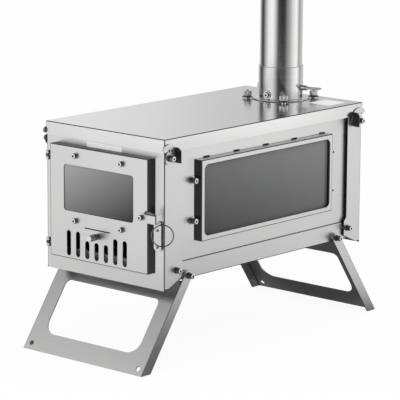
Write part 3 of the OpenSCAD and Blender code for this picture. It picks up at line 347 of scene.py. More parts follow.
def painted_sheen_glass(name, node, across, up, dark, pale, onset=0.0):
    """Ceramic glass whose colour is a painted reflection over painted shade: a ramp from dark to pale over
    the node's box. Across is the vector along which it grows paler with its share, up the share of the
    height, and a noise cloud breaks the ramp."""
    low, high = (np.array(c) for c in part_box(node))
    slope = np.array([*across, up]) / (high - low)
    start = -np.minimum(slope * low, slope * high).sum()
    glass, nodes, links = new_material(name)
    shader = nodes["Principled BSDF"]
    shader.inputs["Roughness"].default_value = 0.05
    shader.inputs["IOR"].default_value = 1.46
    shader.inputs["Coat Weight"].default_value = 0.1
    shader.inputs["Coat Roughness"].default_value = 0.02
    place = nodes.new("ShaderNodeTexCoord")
    run = nodes.new("ShaderNodeVectorMath")
    run.operation = "DOT_PRODUCT"
    run.inputs[1].default_value = slope
    clouds = noise(nodes, 16.0, 5.0)
    sheen_run = nodes.new("ShaderNodeMath")
    sheen_run.operation = "MULTIPLY_ADD"
    sheen_run.inputs[1].default_value = 0.1
    thin = nodes.new("ShaderNodeMath")
    thin.operation = "ADD"
    thin.inputs[1].default_value = start - 0.05
    tint = tone_ramp(nodes, onset, dark, 1.0, pale)
    links.new(place.outputs["Object"], run.inputs[0])
    links.new(place.outputs["Object"], clouds.inputs["Vector"])
    links.new(clouds.outputs["Fac"], sheen_run.inputs[0])
    links.new(run.outputs["Value"], sheen_run.inputs[2])
    links.new(sheen_run.outputs["Value"], thin.inputs[0])
    links.new(thin.outputs["Value"], tint.inputs["Fac"])
    links.new(tint.outputs["Color"], shader.inputs["Base Color"])
    return glass


side_dark, side_pale = (0.005, 0.0052, 0.0055), (0.19, 0.193, 0.195)
door_dark, door_pale = (0.004, 0.0042, 0.0044), (0.34, 0.343, 0.346)
for side in ("left", "right"):
    node = "window_glass_" + side
    painted_glass = painted_sheen_glass("painted_sheen_" + node, node, (0, 0.45), 0.55, side_dark, side_pale)
    dressed(eased(node, glass_chamfer), "stove_body", "ceramic_glass", (painted_glass,), node)
painted_glass = painted_sheen_glass("painted_sheen_door_glass", "door_glass", (-0.5, 0), 0.5, door_dark, door_pale, onset=0.14)
dressed(eased("door_glass", glass_chamfer), "door", "ceramic_glass", (painted_glass,), "door_glass")


# Screws. Socket head screws of polished stainless steel with a knurled head, a washer where they hold sheet,
# and a hexagon nut behind. Each is one turned form, whose nut and socket rows are hexagons. Only the end face
# of the head is bright; knurl, washer and socket are painted dark as shade.
head_r, head_h = 3.6 * mm, 4.4 * mm
neck_r, neck_h = 3.1 * mm, 2.6 * mm
washer_r, washer_h = 4.4 * mm, 1.0 * mm
shank_r = 2.0 * mm
socket_r, socket_h = 1.5 * mm, 2.2 * mm
nut_r, nut_h = 3.3 * mm, 3.2 * mm
screw_break = 0.25 * mm
screw_sides = 48
knurl_share = 0.035
screw_tone = (0.72, 0.72, 0.72)
screw_shade_tone = (0.16, 0.16, 0.16)
half_shade_tone = (0.40, 0.40, 0.40)
fine_grain = (700.0, 700.0, 700.0)
screw_steel = brushed_steel("screw_steel", screw_tone, 0.2, fine_grain, depth=0.05, spread=0.04)
screw_shade_steel = brushed_steel("screw_shade_steel", screw_shade_tone, 0.35, fine_grain, depth=0.1)
half_shade_steel = brushed_steel("half_shade_steel", half_shade_tone, 0.3, fine_grain, depth=0.1)
screw_finishes = (screw_steel, screw_shade_steel, half_shade_steel)


def turned(stations, sides=screw_sides):
    """A turned form about Z: rows of points and the finish of each strip between them. A station holds
    height, radius, kind and finish. The radius runs round the circle, as the flats of a hexagon, or with the
    grooves of a knurl; the finish is that of the strip that starts there."""
    stations = [(*s, "round", 0)[:4] if len(s) < 3 else (*s, 0)[:4] for s in stations]
    high, wide = (np.array([s[i] for s in stations])[:, None] for i in (0, 1))
    kind = np.array([s[2] for s in stations])[:, None]
    around = np.linspace(0, 2 * np.pi, sides, endpoint=False)[None, :]
    sixth = np.pi / 3
    hexagon = 1 / np.cos((around + sixth / 2) % sixth - sixth / 2)
    knurl = 1 - knurl_share * (1 + np.cos(sides / 2 * around))
    wide = wide * np.where(kind == "hex", hexagon, np.where(kind == "knurl", knurl, 1.0))
    points = np.stack([wide * np.cos(around), wide * np.sin(around), high + 0 * around], axis=-1)
    return points, [s[3] for s in stations[:-1]]


def put(form, out, at):
    """Turns a form so that its Z points along out, a direction, and moves it to a place."""
    points, finish = form
    out = np.array(out, float) / np.linalg.norm(out)
    across = np.array([0.0, 1.0, 0.0]) if abs(out[1]) < 0.5 else np.array([1.0, 0.0, 0.0])
    across = across - out * (across @ out)
    across /= np.linalg.norm(across)
    return points @ np.stack([across, np.cross(out, across), out]) + np.array(at), finish


def skin(name, forms):
    """One mesh from forms, grids of points with a finish for each strip. Neighbours in a grid make four-sided
    faces, the last column joins the first, and rows that shrink to a point are merged there. Faces then point
    outward."""
    verts, quads, finishes, first = [], [], [], 0
    for points, finish in forms:
        rows, columns = points.shape[:2]
        index = first + np.arange(rows * columns).reshape(rows, columns)
        after = np.roll(index, -1, axis=1)
        quads.append(np.stack([index[:-1], after[:-1], after[1:], index[1:]], axis=-1).reshape(-1, 4))
        finishes.append(np.repeat(finish, columns))
        verts.append(points.reshape(-1, 3))
        first += rows * columns
    data = bpy.data.meshes.new(name)
    data.from_pydata(np.concatenate(verts), [], np.concatenate(quads).tolist())
    data.polygons.foreach_set("material_index", np.concatenate(finishes).astype(np.int32))
    bm = bmesh.new()
    bm.from_mesh(data)
    bmesh.ops.remove_doubles(bm, verts=bm.verts, dist=0.002 * mm)
    bmesh.ops.recalc_face_normals(bm, faces=bm.faces)
    bm.to_mesh(data)
    bm.free()
    data.shade_smooth()
    shape = bpy.data.objects.new(name, data)
    bpy.context.collection.objects.link(shape)
    rims = shape.modifiers.new("sharp rims", "EDGE_SPLIT")
    rims.split_angle = math.radians(35)
    return flats_kept(shape)


def head_stations(top):
    """Stations of a knurled head from its underside at height top to the floor of its socket."""
    return [(top, head_r - screw_break, "round", 1), (top + screw_break, head_r, "round", 1),
            (top + 2 * screw_break, head_r, "knurl", 1), (top + head_h - 3 * screw_break, head_r, "knurl", 1),
            (top + head_h - 2 * screw_break, head_r, "round", 1),
            (top + head_h - screw_break, head_r - screw_break / 2), (top + head_h, head_r - 2 * screw_break),
            (top + head_h, socket_r + screw_break), (top + head_h - screw_break, socket_r, "hex", 1),
            (top + head_h - socket_h, socket_r, "hex", 1), (top + head_h - socket_h, 0.0)]


def screw_stations(nut_top, washer=True, sleeve=None):
    """Stations of a screw from the end of its nut to the floor of its socket, seat at height 0. The sleeve is
    the lower and upper height of a spacer on the shank."""
    low = nut_top - nut_h
    rows = [(low, 0.0), (low, nut_r - screw_break), (low, nut_r - screw_break, "hex"),
            (low + screw_break, nut_r, "hex"), (nut_top - screw_break, nut_r, "hex"),
            (nut_top, nut_r - screw_break, "hex"), (nut_top, shank_r)]
    if sleeve:
        rows += [(sleeve[0], shank_r), (sleeve[0], neck_r), (sleeve[1], neck_r), (sleeve[1], shank_r)]
    rows += [(0.0, shank_r)]
    if washer:
        rows += [(0.0, washer_r - screw_break, "round", 1), (screw_break, washer_r, "round", 1),
                 (washer_h - screw_break, washer_r, "round", 1),
                 (washer_h, washer_r - screw_break, "round", 1),
                 (washer_h, neck_r, "round", 1), (washer_h + neck_h, neck_r, "round", 1)]
    return rows + head_stations(washer_h + neck_h if washer else 0.0)


screw_h = washer_h + neck_h + head_h


def turned_part(node, forms, body="stove_body", made="turned"):
    """Hands over screws or other turned steel parts in place of their node."""
    dressed(skin(node + "_" + made, forms), body, "screw_steel", screw_finishes, node)


def side_screws(node, nut_top, sleeve=None):
    """The screws of both sides, at the corners of their node's box, heads outward."""
    low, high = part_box(node)
    ys = (low.y + washer_r, high.y - washer_r)
    zs = sorted({round(low.z + washer_r, 6), round(high.z - washer_r, 6)})
    form = turned(screw_stations(nut_top, True, sleeve))
    forms = [put(form, (s, 0, 0), (s * (high.x - screw_h), y, z)) for s in (-1, 1) for y in ys for z in zs]
    turned_part(node, forms)


def half_width(node):
    """Distance of a node's outermost point from the middle plane of the stove."""
    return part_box(node)[1].x


window_box_d = 13.0 * mm
slip = 0.1 * mm
x_side = half_width("window_frame_right") - window_box_d
x_flange, x_tray, x_leg = half_width("rear_panel"), half_width("base_tray"), half_width("front_leg")
x_latch = half_width("corner_latch_screws") - screw_h
side_screws("window_screws", -2 * sheet_t)
side_screws("panel_screws", x_side - x_flange - sheet_t, (x_tray - x_flange, -sheet_t))
side_screws("leg_pivot_screws", x_side - x_leg - slip - sheet_t)
side_screws("corner_latch_screws", x_flange - x_latch - sheet_t, (x_flange - x_latch, -sheet_t - 4 * slip))


# Legs. Two bent sheets of heavier steel with side flanges, a large cut-out and two holes for ground pegs,
# brushed across and duller than the body. Bushes keep them off the tray.
leg_sheet_t = 1.5 * mm
leg_tone = (0.61, 0.61, 0.605)
# Folds and cut edges of the legs are painted dark as shade.
leg_fold_shade_tone = (0.3, 0.3, 0.3)
cross_grain = (12.0, 800.0, 800.0)
leg_sheet = brushed_steel("leg_sheet", leg_tone, 0.3, cross_grain, depth=0.1)
leg_fold_shade = brushed_steel("leg_fold_shade", leg_fold_shade_tone, 0.4, cross_grain, depth=0.05)
for leg, body in (("front_leg", "leg_front"), ("rear_leg", "leg_rear")):
    dressed(folded(leg, fold_round, leg_sheet_t), body, "leg_sheet", (leg_sheet, leg_fold_shade), leg)
bushes = eased("leg_pivot_bushes", edge_break)
dressed(bushes, "stove_body", "screw_steel", screw_finishes, "leg_pivot_bushes")


# Corner latches. Flat hooks with a finger tab, pivoted on the end panels; each hooks over a pin that is
# pressed into the skirt of the lid.
hook_t = 1.0 * mm
for corner in ("front_left", "front_right", "rear_left", "rear_right"):
    # Their walls that face along the stove or up and down are painted near black as shade.
    hook = folded("corner_latch_" + corner, edge_break, hook_t, shaded_walls=(1, 2))
    sheet_part("corner_latch_" + corner, hook, "corner_hook_" + corner)
keeper_pins = eased("corner_keeper_pins", edge_break)
dressed(keeper_pins, "stove_body", "screw_steel", screw_finishes, "corner_keeper_pins")


# Flue collar. A rolled tube welded on a flat flange, with an inner bead that the pipe stands on and two
# bosses for the damper axle. Brushed round the axis.
flue_tone = (0.62, 0.62, 0.615)
round_grain = (9.0, 9.0, 1200.0)
flue_sheet = brushed_steel("flue_sheet", flue_tone, 0.14, round_grain, depth=0.08, spread=0.03)
collar_low, collar_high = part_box("flue_collar")
pipe_low, pipe_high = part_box("flue_pipe")
collar_t, flange_t, pipe_t = 1.2 * mm, 1.5 * mm, 0.6 * mm
pipe_fit, socket_play = 0.3 * mm, 0.2 * mm
bead_h, bead_in = 2.0 * mm, 1.1 * mm
weld_r = 0.8 * mm
flue_sides = 128
flange_r = (collar_high.x - collar_low.x) / 2
flue_y = (collar_high.y + collar_low.y) / 2
lid_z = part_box("top_plate")[1].z
pipe_r = (pipe_high.x - pipe_low.x) / 2 - pipe_t - socket_play
bore_r = pipe_r + pipe_fit
collar_r = bore_r + collar_t
boss_r, boss_l = 4.0 * mm, 2.6 * mm
axle_clear_r = 2.05 * mm
damper_z = lid_z + 16.5 * mm
damper_turn = math.radians(18)
damper_out = np.array([math.cos(damper_turn), math.sin(damper_turn), 0.0])


def arc(z, r, radius, start, end, steps=5):
    """Stations of a round edge: points on a circle about height z and radius r, between two angles in degrees
    that are counted from outward to up."""
    turn = np.radians(np.linspace(start, end, steps))
    return [(z + radius * math.sin(t), r + radius * math.cos(t)) for t in turn]


def on_flue(form):
    """Moves an upright form onto the flue axis."""
    return put(form, (0, 0, 1), (0, flue_y, 0))


bead_z = pipe_low.z - slip - bead_h / 2
rim = collar_t / 2
edge = flange_t / 2
wall = [(collar_low.z, bore_r), (collar_low.z, collar_r), (lid_z, collar_r), (lid_z, flange_r - edge)]
wall += arc(lid_z + edge, flange_r - edge, edge, -90, 90)
wall += arc(lid_z + flange_t + weld_r, collar_r + weld_r, weld_r, 270, 180)
wall += arc(collar_high.z - rim, collar_r - rim, rim, 0, 180)
wall += [(bead_z + bead_h / 2, bore_r), (bead_z + bead_h / 4, bore_r - bead_in)]
wall += [(bead_z - bead_h / 4, bore_r - bead_in), (bead_z - bead_h / 2, bore_r), (collar_low.z, bore_r)]
boss = [(bore_r + rim, axle_clear_r), (bore_r + rim, boss_r), (collar_r + boss_l - edge_break, boss_r)]
boss += [(collar_r + boss_l, boss_r - edge_break), (collar_r + boss_l, axle_clear_r)]
boss += [(bore_r + rim, axle_clear_r)]
forms = [on_flue(turned(wall, flue_sides))]
forms += [put(turned(boss), s * damper_out, (0, flue_y, damper_z)) for s in (-1, 1)]
dressed(skin("flue_collar_rolled", forms), "stove_body", "flue_sheet", (flue_sheet,), "flue_collar")


# Flue studs and thumb nuts. Threaded studs through the lid with a nut under it and a collar foot; on each a
# washer and neck painted dark as shade, and a tall, bright knurled nut that is tightened by hand.
thumb_washer_r, thumb_r, thumb_h = 7.6 * mm, 6.0 * mm, 8.0 * mm
thumb_neck_r, thumb_neck_h = 5.2 * mm, 1.4 * mm
thumb_break = 0.5 * mm
thumb_sides = 56
stud_foot_r, stud_h = 3.6 * mm, 12.0 * mm
thread_pitch, thread_depth = 0.7 * mm, 0.25 * mm
thumb_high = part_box("flue_thumb_nuts")[1]
stud_reach = thumb_high.x - thumb_washer_r
stud_places = [(sx * stud_reach, flue_y + sy * stud_reach, lid_z) for sx in (-1, 1) for sy in (-1, 1)]
under = -sheet_t - nut_h
stud = [(under, 0.0), (under, nut_r - screw_break, "hex"), (under + screw_break, nut_r, "hex")]
stud += [(-sheet_t - screw_break, nut_r, "hex"), (-sheet_t, nut_r - screw_break, "hex"), (-sheet_t, shank_r)]
stud += [(0.0, shank_r), (0.0, stud_foot_r), (flange_t, stud_foot_r), (flange_t, shank_r)]
threads = np.arange(flange_t + thumb_h, stud_h - 2 * thread_pitch, thread_pitch)
stud += [(z + k * thread_pitch / 2, shank_r - k * thread_depth) for z in threads for k in (0, 1)]
stud += [(stud_h - 2 * screw_break, shank_r), (stud_h, shank_r - 2 * screw_break), (stud_h, 0.0)]
forms = [put(turned(stud), (0, 0, 1), p) for p in stud_places]
turned_part("flue_studs", forms, made="threaded")

nut_low = flange_t + washer_h
nut_top = nut_low + thumb_h
nut = [(flange_t, shank_r), (flange_t, thumb_washer_r - screw_break, "round", 1)]
nut += [(flange_t + screw_break, thumb_washer_r, "round", 1)]
nut += [(nut_low - screw_break, thumb_washer_r, "round", 1)]
nut += [(nut_low, thumb_washer_r - screw_break, "round", 1)]
nut += [(nut_low, thumb_neck_r, "round", 1), (nut_low + thumb_neck_h, thumb_neck_r, "round", 1)]
nut += [(nut_low + thumb_neck_h, thumb_r - thumb_break)]
nut += [(nut_low + thumb_neck_h + thumb_break, thumb_r, "knurl"), (nut_top - thumb_break, thumb_r, "knurl")]
nut += [(nut_top - thumb_break, thumb_r - screw_break), (nut_top, thumb_r - thumb_break)]
nut += [(nut_top, shank_r + thumb_break), (nut_top - thumb_break, shank_r), (flange_t, shank_r)]
forms = [put(turned(nut, thumb_sides), (0, 0, 1), p) for p in stud_places]
turned_part("flue_thumb_nuts", forms, made="knurled")


# Collar screw. A large round screw on the front of the collar that clamps the pipe: a ring painted dark as
# shade with a bright lip, and a domed centre with a socket painted dark as shade.
collar_bearing = math.radians(-87)
collar_screw_r, collar_lip = 6.0 * mm, 1.6 * mm
collar_out = (math.cos(collar_bearing), math.sin(collar_bearing), 0.0)
collar_screw_z = sum(c.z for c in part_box("collar_screw")) / 2
disc = collar_r + washer_h
dome = disc + neck_h
screw = [(bore_r + rim, 0.0), (bore_r + rim, collar_screw_r, "round", 1)]
screw += [(disc - screw_break, collar_screw_r), (disc, collar_screw_r - screw_break)]
screw += [(disc, collar_screw_r - collar_lip, "round", 1)]
screw += [(disc - screw_break, collar_screw_r - collar_lip - screw_break, "round", 1)]
screw += [(disc - screw_break, head_r)]
screw += arc(dome - 2 * screw_break, head_r - 2 * screw_break, 2 * screw_break, 0, 90)
screw += [(dome, socket_r, "hex", 1), (dome - socket_h, socket_r, "hex", 1), (dome - socket_h, 0.0)]
forms = [put(turned(screw), collar_out, (0, flue_y, collar_screw_z))]
turned_part("collar_screw", forms)


# Stove pipe. One rolled section that stands on the bead of the collar, with a drawn socket for the next
# section and a rolled rim.
socket_h_pipe = 30.0 * mm
socket_bore = pipe_r + socket_play
neck_z = pipe_high.z - socket_h_pipe - 2 * pipe_t
swage = 2.5 * mm
lip = pipe_t / 2
tube = arc(pipe_low.z + lip, pipe_r - lip, lip, -180, 0)
tube += [(neck_z, pipe_r), (neck_z + swage, socket_bore + pipe_t)]
tube += arc(pipe_high.z - lip, socket_bore + lip, lip, 0, 180)
tube += [(neck_z + swage + pipe_t, socket_bore), (neck_z + pipe_t, pipe_r - pipe_t)]
tube += [(pipe_low.z + lip, pipe_r - pipe_t)]
forms = [on_flue(turned(tube, flue_sides))]
dressed(skin("flue_pipe_rolled", forms), "pipe", "flue_sheet", (flue_sheet,), "flue_pipe")


# Damper. A disc riveted to the flat of its axle, blued by the flue gas, and outside the collar a loop of
# bright wire pressed into a small hub.
heat_tone, heat_blue = (0.30, 0.22, 0.17), (0.14, 0.16, 0.24)
hub_r, hub_l = 3.5 * mm, 6.0 * mm
loop_reach, loop_w, wire_r = 62.0 * mm, 11.0 * mm, 1.1 * mm
axle_end = collar_r + boss_l + slip


def heat_tinted(name):
    """Steel tinted by heat: a slow cloud runs from straw brown to blue over a dull, slightly scaled face."""
    steel, nodes, links = new_material(name)
    shader = nodes["Principled BSDF"]
    shader.inputs["Metallic"].default_value = 0.85
    shader.inputs["Roughness"].default_value = 0.5
    place = nodes.new("ShaderNodeTexCoord")
    clouds = noise(nodes, 22.0, 6.0)
    tint = tone_ramp(nodes, 0.38, heat_blue, 0.62, heat_tone)
    scale = noise(nodes, 900.0, 2.0)
    relief = nodes.new("ShaderNodeBump")
    relief.inputs["Strength"].default_value = 0.25
    relief.inputs["Distance"].default_value = 0.1 * mm
    links.new(place.outputs["Object"], clouds.inputs["Vector"])
    links.new(place.outputs["Object"], scale.inputs["Vector"])
    links.new(clouds.outputs["Fac"], tint.inputs["Fac"])
    links.new(tint.outputs["Color"], shader.inputs["Base Color"])
    links.new(scale.outputs["Fac"], relief.inputs["Height"])
    links.new(relief.outputs["Normal"], shader.inputs["Normal"])
    return steel


def wire(path, radius, sides=16):
    """Round wire along a closed path of points: at each point a circle stands square to the path, spanned by
    the normal of the path's plane and the direction across the path."""
    ahead = np.roll(path, -1, axis=0) - np.roll(path, 1, axis=0)
    ahead /= np.linalg.norm(ahead, axis=1)[:, None]
    across = np.cross(np.cross(path[0] - path.mean(0), path[len(path) // 4] - path.mean(0)), ahead)
    across /= np.linalg.norm(across, axis=1)[:, None]
    up = np.cross(ahead, across)
    turn = np.linspace(0, 2 * np.pi, sides, endpoint=False)[None, :, None]
    ring = path[:, None] + radius * (np.cos(turn) * across[:, None] + np.sin(turn) * up[:, None])
    return np.concatenate([ring, ring[:1]]), [0] * len(path)


heat_steel = heat_tinted("heat_steel")
dressed(eased("damper_disc", edge_break), "damper", "heat_steel", (heat_steel,), "damper_disc")
for node in ("damper_axle", "damper_rivets"):
    dressed(eased(node, screw_break), "damper", "screw_steel", (screw_steel,), node)
half = loop_w / 2 - wire_r
near, far = axle_end + hub_l / 2, loop_reach - loop_w / 2
corner = np.radians(np.linspace(180, 270, 6))
bend_r = 1.5 * wire_r
start = np.stack([near + bend_r + bend_r * np.cos(corner), -half + bend_r + bend_r * np.sin(corner)], axis=1)
run_out = np.stack([np.linspace(near + 2 * bend_r, far, 12), np.full(12, -half)], axis=1)
tip = np.radians(np.linspace(-90, 90, 25))[1:-1]
tip = np.stack([far + half * np.cos(tip), half * np.sin(tip)], axis=1)
flat_loop = np.concatenate([start, run_out, tip, run_out[::-1] * (1, -1), start[::-1] * (1, -1)])
side_way = np.array([-damper_out[1], damper_out[0], 0.0])
loop = flat_loop[:, :1] * damper_out + flat_loop[:, 1:] * side_way + np.array([0, flue_y, damper_z])
hub = [(axle_end, shank_r), (axle_end, hub_r - screw_break), (axle_end + screw_break, hub_r)]
hub += [(axle_end + hub_l - screw_break, hub_r), (axle_end + hub_l, hub_r - screw_break)]
hub += [(axle_end + hub_l, shank_r), (axle_end, shank_r)]
forms = [put(turned(hub), damper_out, (0, flue_y, damper_z)), wire(loop, wire_r)]
dressed(skin("damper_handle_wire", forms), "damper", "screw_steel", (screw_steel,), "damper_handle")


# Door. A deep tray of slightly heavier sheet with the glass opening, seven air slots and the slit over the
# knob. A frame plate and four screws hold the glass from behind; two knuckles run on the hinge pins.
door_t = 1.0 * mm
# The door's side, top and bottom walls are painted near black as shade.
shell = folded("door_shell", fold_round, door_t, shaded_walls=(0, 2))
sheet_part("door_shell", shell, "door")
sheet_part("door_retainer", eased("door_retainer", edge_break), "door")
sheet_part("hinge_lugs", eased("hinge_lugs", edge_break))
dressed(eased("hinge_pins", edge_break), "stove_body", "screw_steel", (screw_steel,), "hinge_pins")
nut_corner_r = 3.8 * mm
door_stack = 6.2 * mm
low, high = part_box("door_window_screws")
seat_y = low.y + head_h
form = turned(screw_stations(-door_stack, False, (door_t - door_stack, -door_t)))
forms = [put(form, (0, -1, 0), (x, seat_y, z)) for x in (low.x + nut_corner_r, high.x - nut_corner_r)
         for z in (low.z + head_r, high.z - head_r)]
turned_part("door_window_screws", forms, "door")


# Air control. A plate that slides in two lipped rails behind the door's slots, with a turned steel knob in
# front, whose end is bright and whose side is painted as shade: dark at the foot and half as dark towards the
# end.
rail_break, slider_break = 0.15 * mm, 0.2 * mm
sheet_part("slider_rails", eased("slider_rails", rail_break), "door")
sheet_part("air_slider", eased("air_slider", slider_break), "air_control")
knob_foot_h, knob_break = 2.0 * mm, 0.4 * mm
knob_h = 16.0 * mm
low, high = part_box("air_knob")
knob_r = (high.x - low.x) / 2
knob_foot_r = 0.8 * knob_r
stem = low.y + knob_h - high.y
knob = [(stem, 0.0), (stem, shank_r), (0.0, shank_r), (0.0, knob_foot_r, "round", 1)]
knob += [(knob_foot_h, knob_foot_r, "round", 1), (knob_foot_h, knob_r - screw_break, "round", 1)]
knob += [(knob_foot_h + screw_break, knob_r, "round", 1), (knob_h / 2, knob_r, "round", 2)]
knob += arc(knob_h - knob_break, knob_r - knob_break, knob_break, 0, 90)
knob += [(knob_h, 0.0)]
form = put(turned(knob), (0, -1, 0), ((low.x + high.x) / 2, low.y + knob_h, (low.z + high.z) / 2))
turned_part("air_knob", [form], "air_control")


# Latch. A strip on one screw that lifts off the keeper, its end bent back beside it, with a thumb tab and a
# wire ring to pull the door by. The keeper stands off the front panel on two rivets.
arm_bend, rivet_break = 0.5 * mm, 0.4 * mm
sheet_part("latch_arm", folded("latch_arm", arm_bend, door_t), "latch")
keeper = folded("latch_keeper", edge_break, door_t)
sheet_part("latch_keeper", keeper)
# The rivets are painted dark as shade.
dressed(eased("keeper_rivets", rivet_break), "stove_body", "screw_steel", (screw_shade_steel,), "keeper_rivets")
low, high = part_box("latch_screw")
arm_gap = 1.2 * mm
form = turned(screw_stations(-arm_gap - door_t, False))
form = put(form, (0, -1, 0), ((low.x + high.x) / 2, low.y + head_h, (low.z + high.z) / 2))
turned_part("latch_screw", [form], "door")
ring_wire_r = 0.8 * mm
# The pull ring's steel is painted dark as shade.
ring_shade_tone = (0.13, 0.13, 0.13)
pull_ring_shade = brushed_steel("pull_ring_shade", ring_shade_tone, 0.2, fine_grain, depth=0.05)
low, high = (np.array(c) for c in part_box("pull_ring"))
ring_mid = (low + high) / 2
ring_r = (high[2] - low[2]) / 2 - ring_wire_r
ring_turn = math.radians(41.6)
sweep = np.linspace(0, 2 * np.pi, 96, endpoint=False)[:, None]
ring_way = np.array([math.cos(ring_turn), math.sin(ring_turn), 0.0])
ring_path = ring_mid + ring_r * (np.cos(sweep) * ring_way + np.sin(sweep) * np.array([0, 0, 1.0]))
ring_wire = skin("pull_ring_wire", [wire(ring_path, ring_wire_r)])
dressed(ring_wire, "ring", "screw_steel", (pull_ring_shade,), "pull_ring")


# Inside of the stove. A cast grate on six feet, and a baffle plate on two brackets that keeps the flame out
# of the flue. The grate is rough grey iron, the baffle is heat tinted.
cast_round = 0.5 * mm
iron_dark, iron_pale = (0.035, 0.034, 0.033), (0.09, 0.085, 0.08)
grate_iron, nodes, links = new_material("grate_iron")
iron = nodes["Principled BSDF"]
iron.inputs["Metallic"].default_value = 0.4
iron.inputs["Roughness"].default_value = 0.75
place = nodes.new("ShaderNodeTexCoord")
pores = noise(nodes, 600.0, 6.0)
tint = tone_ramp(nodes, 0.0, iron_dark, 1.0, iron_pale)
relief = nodes.new("ShaderNodeBump")
relief.inputs["Strength"].default_value = 0.6
relief.inputs["Distance"].default_value = 0.3 * mm
links.new(place.outputs["Object"], pores.inputs["Vector"])
links.new(pores.outputs["Fac"], tint.inputs["Fac"])
links.new(pores.outputs["Fac"], relief.inputs["Height"])
links.new(tint.outputs["Color"], iron.inputs["Base Color"])
links.new(relief.outputs["Normal"], iron.inputs["Normal"])
dressed(eased("fire_grate", cast_round), "stove_body", "grate_iron", (grate_iron,), "fire_grate")
for node in ("baffle_plate", "baffle_brackets"):
    dressed(eased(node, edge_break), "stove_body", "heat_steel", (heat_steel,), node)


# Blank plates. Thin pale foil, one over the door and one on the lid beside the flue, both left bare.
foil_t = 0.12 * mm
foil_tone = (0.95, 0.95, 0.94)
front_foil = (63.0 * mm, 10.0 * mm)
lid_foil = (36.0 * mm, 38.0 * mm)
front_corner, lid_corner = 1.0 * mm, 1.5 * mm
foil, nodes, links = new_material("foil")
paint = nodes["Principled BSDF"]
paint.inputs["Roughness"].default_value = 0.4
place = nodes.new("ShaderNodeTexCoord")
flecks = noise(nodes, 300.0, 2.0)
tint = tone_ramp(nodes, 0.0, [c * 0.92 for c in foil_tone], 1.0, foil_tone)
links.new(place.outputs["Object"], flecks.inputs["Vector"])
links.new(flecks.outputs["Fac"], tint.inputs["Fac"])
links.new(tint.outputs["Color"], paint.inputs["Base Color"])


def foil_plate(name, size, corner, middle, across, up):
    """A thin plate with round corners: an outline of four arcs joined by straight sides, raised by the
    foil's thickness and closed above and below by fans of faces towards its middle."""
    turn = np.linspace(0, 2 * np.pi, 32, endpoint=False) + np.pi / 32
    round_corner = np.stack([np.cos(turn), np.sin(turn)], axis=1)
    outline = np.sign(round_corner) * (np.array(size) / 2 - corner) + corner * round_corner
    across, up = np.array(across, float), np.array(up, float)
    out = np.cross(across, up)
    flat = outline[:, :1] * across + outline[:, 1:] * up
    grid = np.stack([flat * 0, flat, flat + foil_t * out, flat * 0 + foil_t * out]) + np.array(middle)
    dressed(skin(name, [(grid, [0, 0, 0])]), "stove_body", "brushed_sheet", (foil,))


front_place = (-0.5 * mm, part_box("front_panel")[0].y, lid_z - 22.5 * mm)
lid_place = (75.0 * mm, 171.0 * mm, lid_z)
foil_plate("front_foil", front_foil, front_corner, front_place, (1, 0, 0), (0, 0, 1))
foil_plate("lid_foil", lid_foil, lid_corner, lid_place, (1, 0, 0), (0, 1, 0))


# Studio. A pale floor and surround that show white, soft light from all round and one lamp, and a ring and
# small cards that only reflections meet. The ring draws the pipe's bands; the cards are described below.
world = bpy.data.worlds.new("studio")
bpy.context.scene.world = world
world.use_nodes = True
nodes, links = world.node_tree.nodes, world.node_tree.links
nodes.clear()
sky = nodes.new("ShaderNodeOutputWorld")
place = nodes.new("ShaderNodeTexCoord")
axes = nodes.new("ShaderNodeSeparateXYZ")
height = tone_ramp(nodes, 0.30, (0.86, 0.86, 0.86), 0.74, (0.10, 0.10, 0.10))
height.color_ramp.elements.new(0.60).color = linear(0.5, 0.5, 0.5)
links.new(place.outputs["Generated"], axes.inputs["Vector"])
links.new(axes.outputs["Z"], height.inputs["Fac"])


def seen_directly(nodes, links):
    """Two sockets: 1 for rays of the camera, in a mirror or through glass, else 0; and 1 for the camera's."""
    rays = nodes.new("ShaderNodeLightPath")
    total = rays.outputs["Is Camera Ray"]
    for kind in ("Is Glossy Ray", "Is Transmission Ray"):
        more = nodes.new("ShaderNodeMath")
        more.operation = "MAXIMUM"
        links.new(total, more.inputs[0])
        links.new(rays.outputs[kind], more.inputs[1])
        total = more.outputs["Value"]
    return total, rays.outputs["Is Camera Ray"]


shown, by_camera = seen_directly(nodes, links)
soft = nodes.new("ShaderNodeBackground")
soft.inputs["Strength"].default_value = 0.95
soft.inputs["Color"].default_value = linear(1.0, 1.0, 1.0)
mirrored = nodes.new("ShaderNodeBackground")
white = nodes.new("ShaderNodeBackground")
white.inputs["Color"].default_value = linear(1.0, 1.0, 1.0)
inner = nodes.new("ShaderNodeMixShader")
outer = nodes.new("ShaderNodeMixShader")
links.new(height.outputs["Color"], mirrored.inputs["Color"])
links.new(shown, inner.inputs["Fac"])
links.new(soft.outputs["Background"], inner.inputs[1])
links.new(mirrored.outputs["Background"], inner.inputs[2])
links.new(by_camera, outer.inputs["Fac"])
links.new(inner.outputs["Shader"], outer.inputs[1])
links.new(white.outputs["Background"], outer.inputs[2])
links.new(outer.outputs["Shader"], sky.inputs["Surface"])


def flat_card(name, corners):
    """A flat four-cornered sheet of the studio."""
    data = bpy.data.meshes.new(name)
    data.from_pydata(corners, [], [(0, 1, 2, 3)])
    card = bpy.data.objects.new(name, data)
    bpy.context.collection.objects.link(card)
    return card


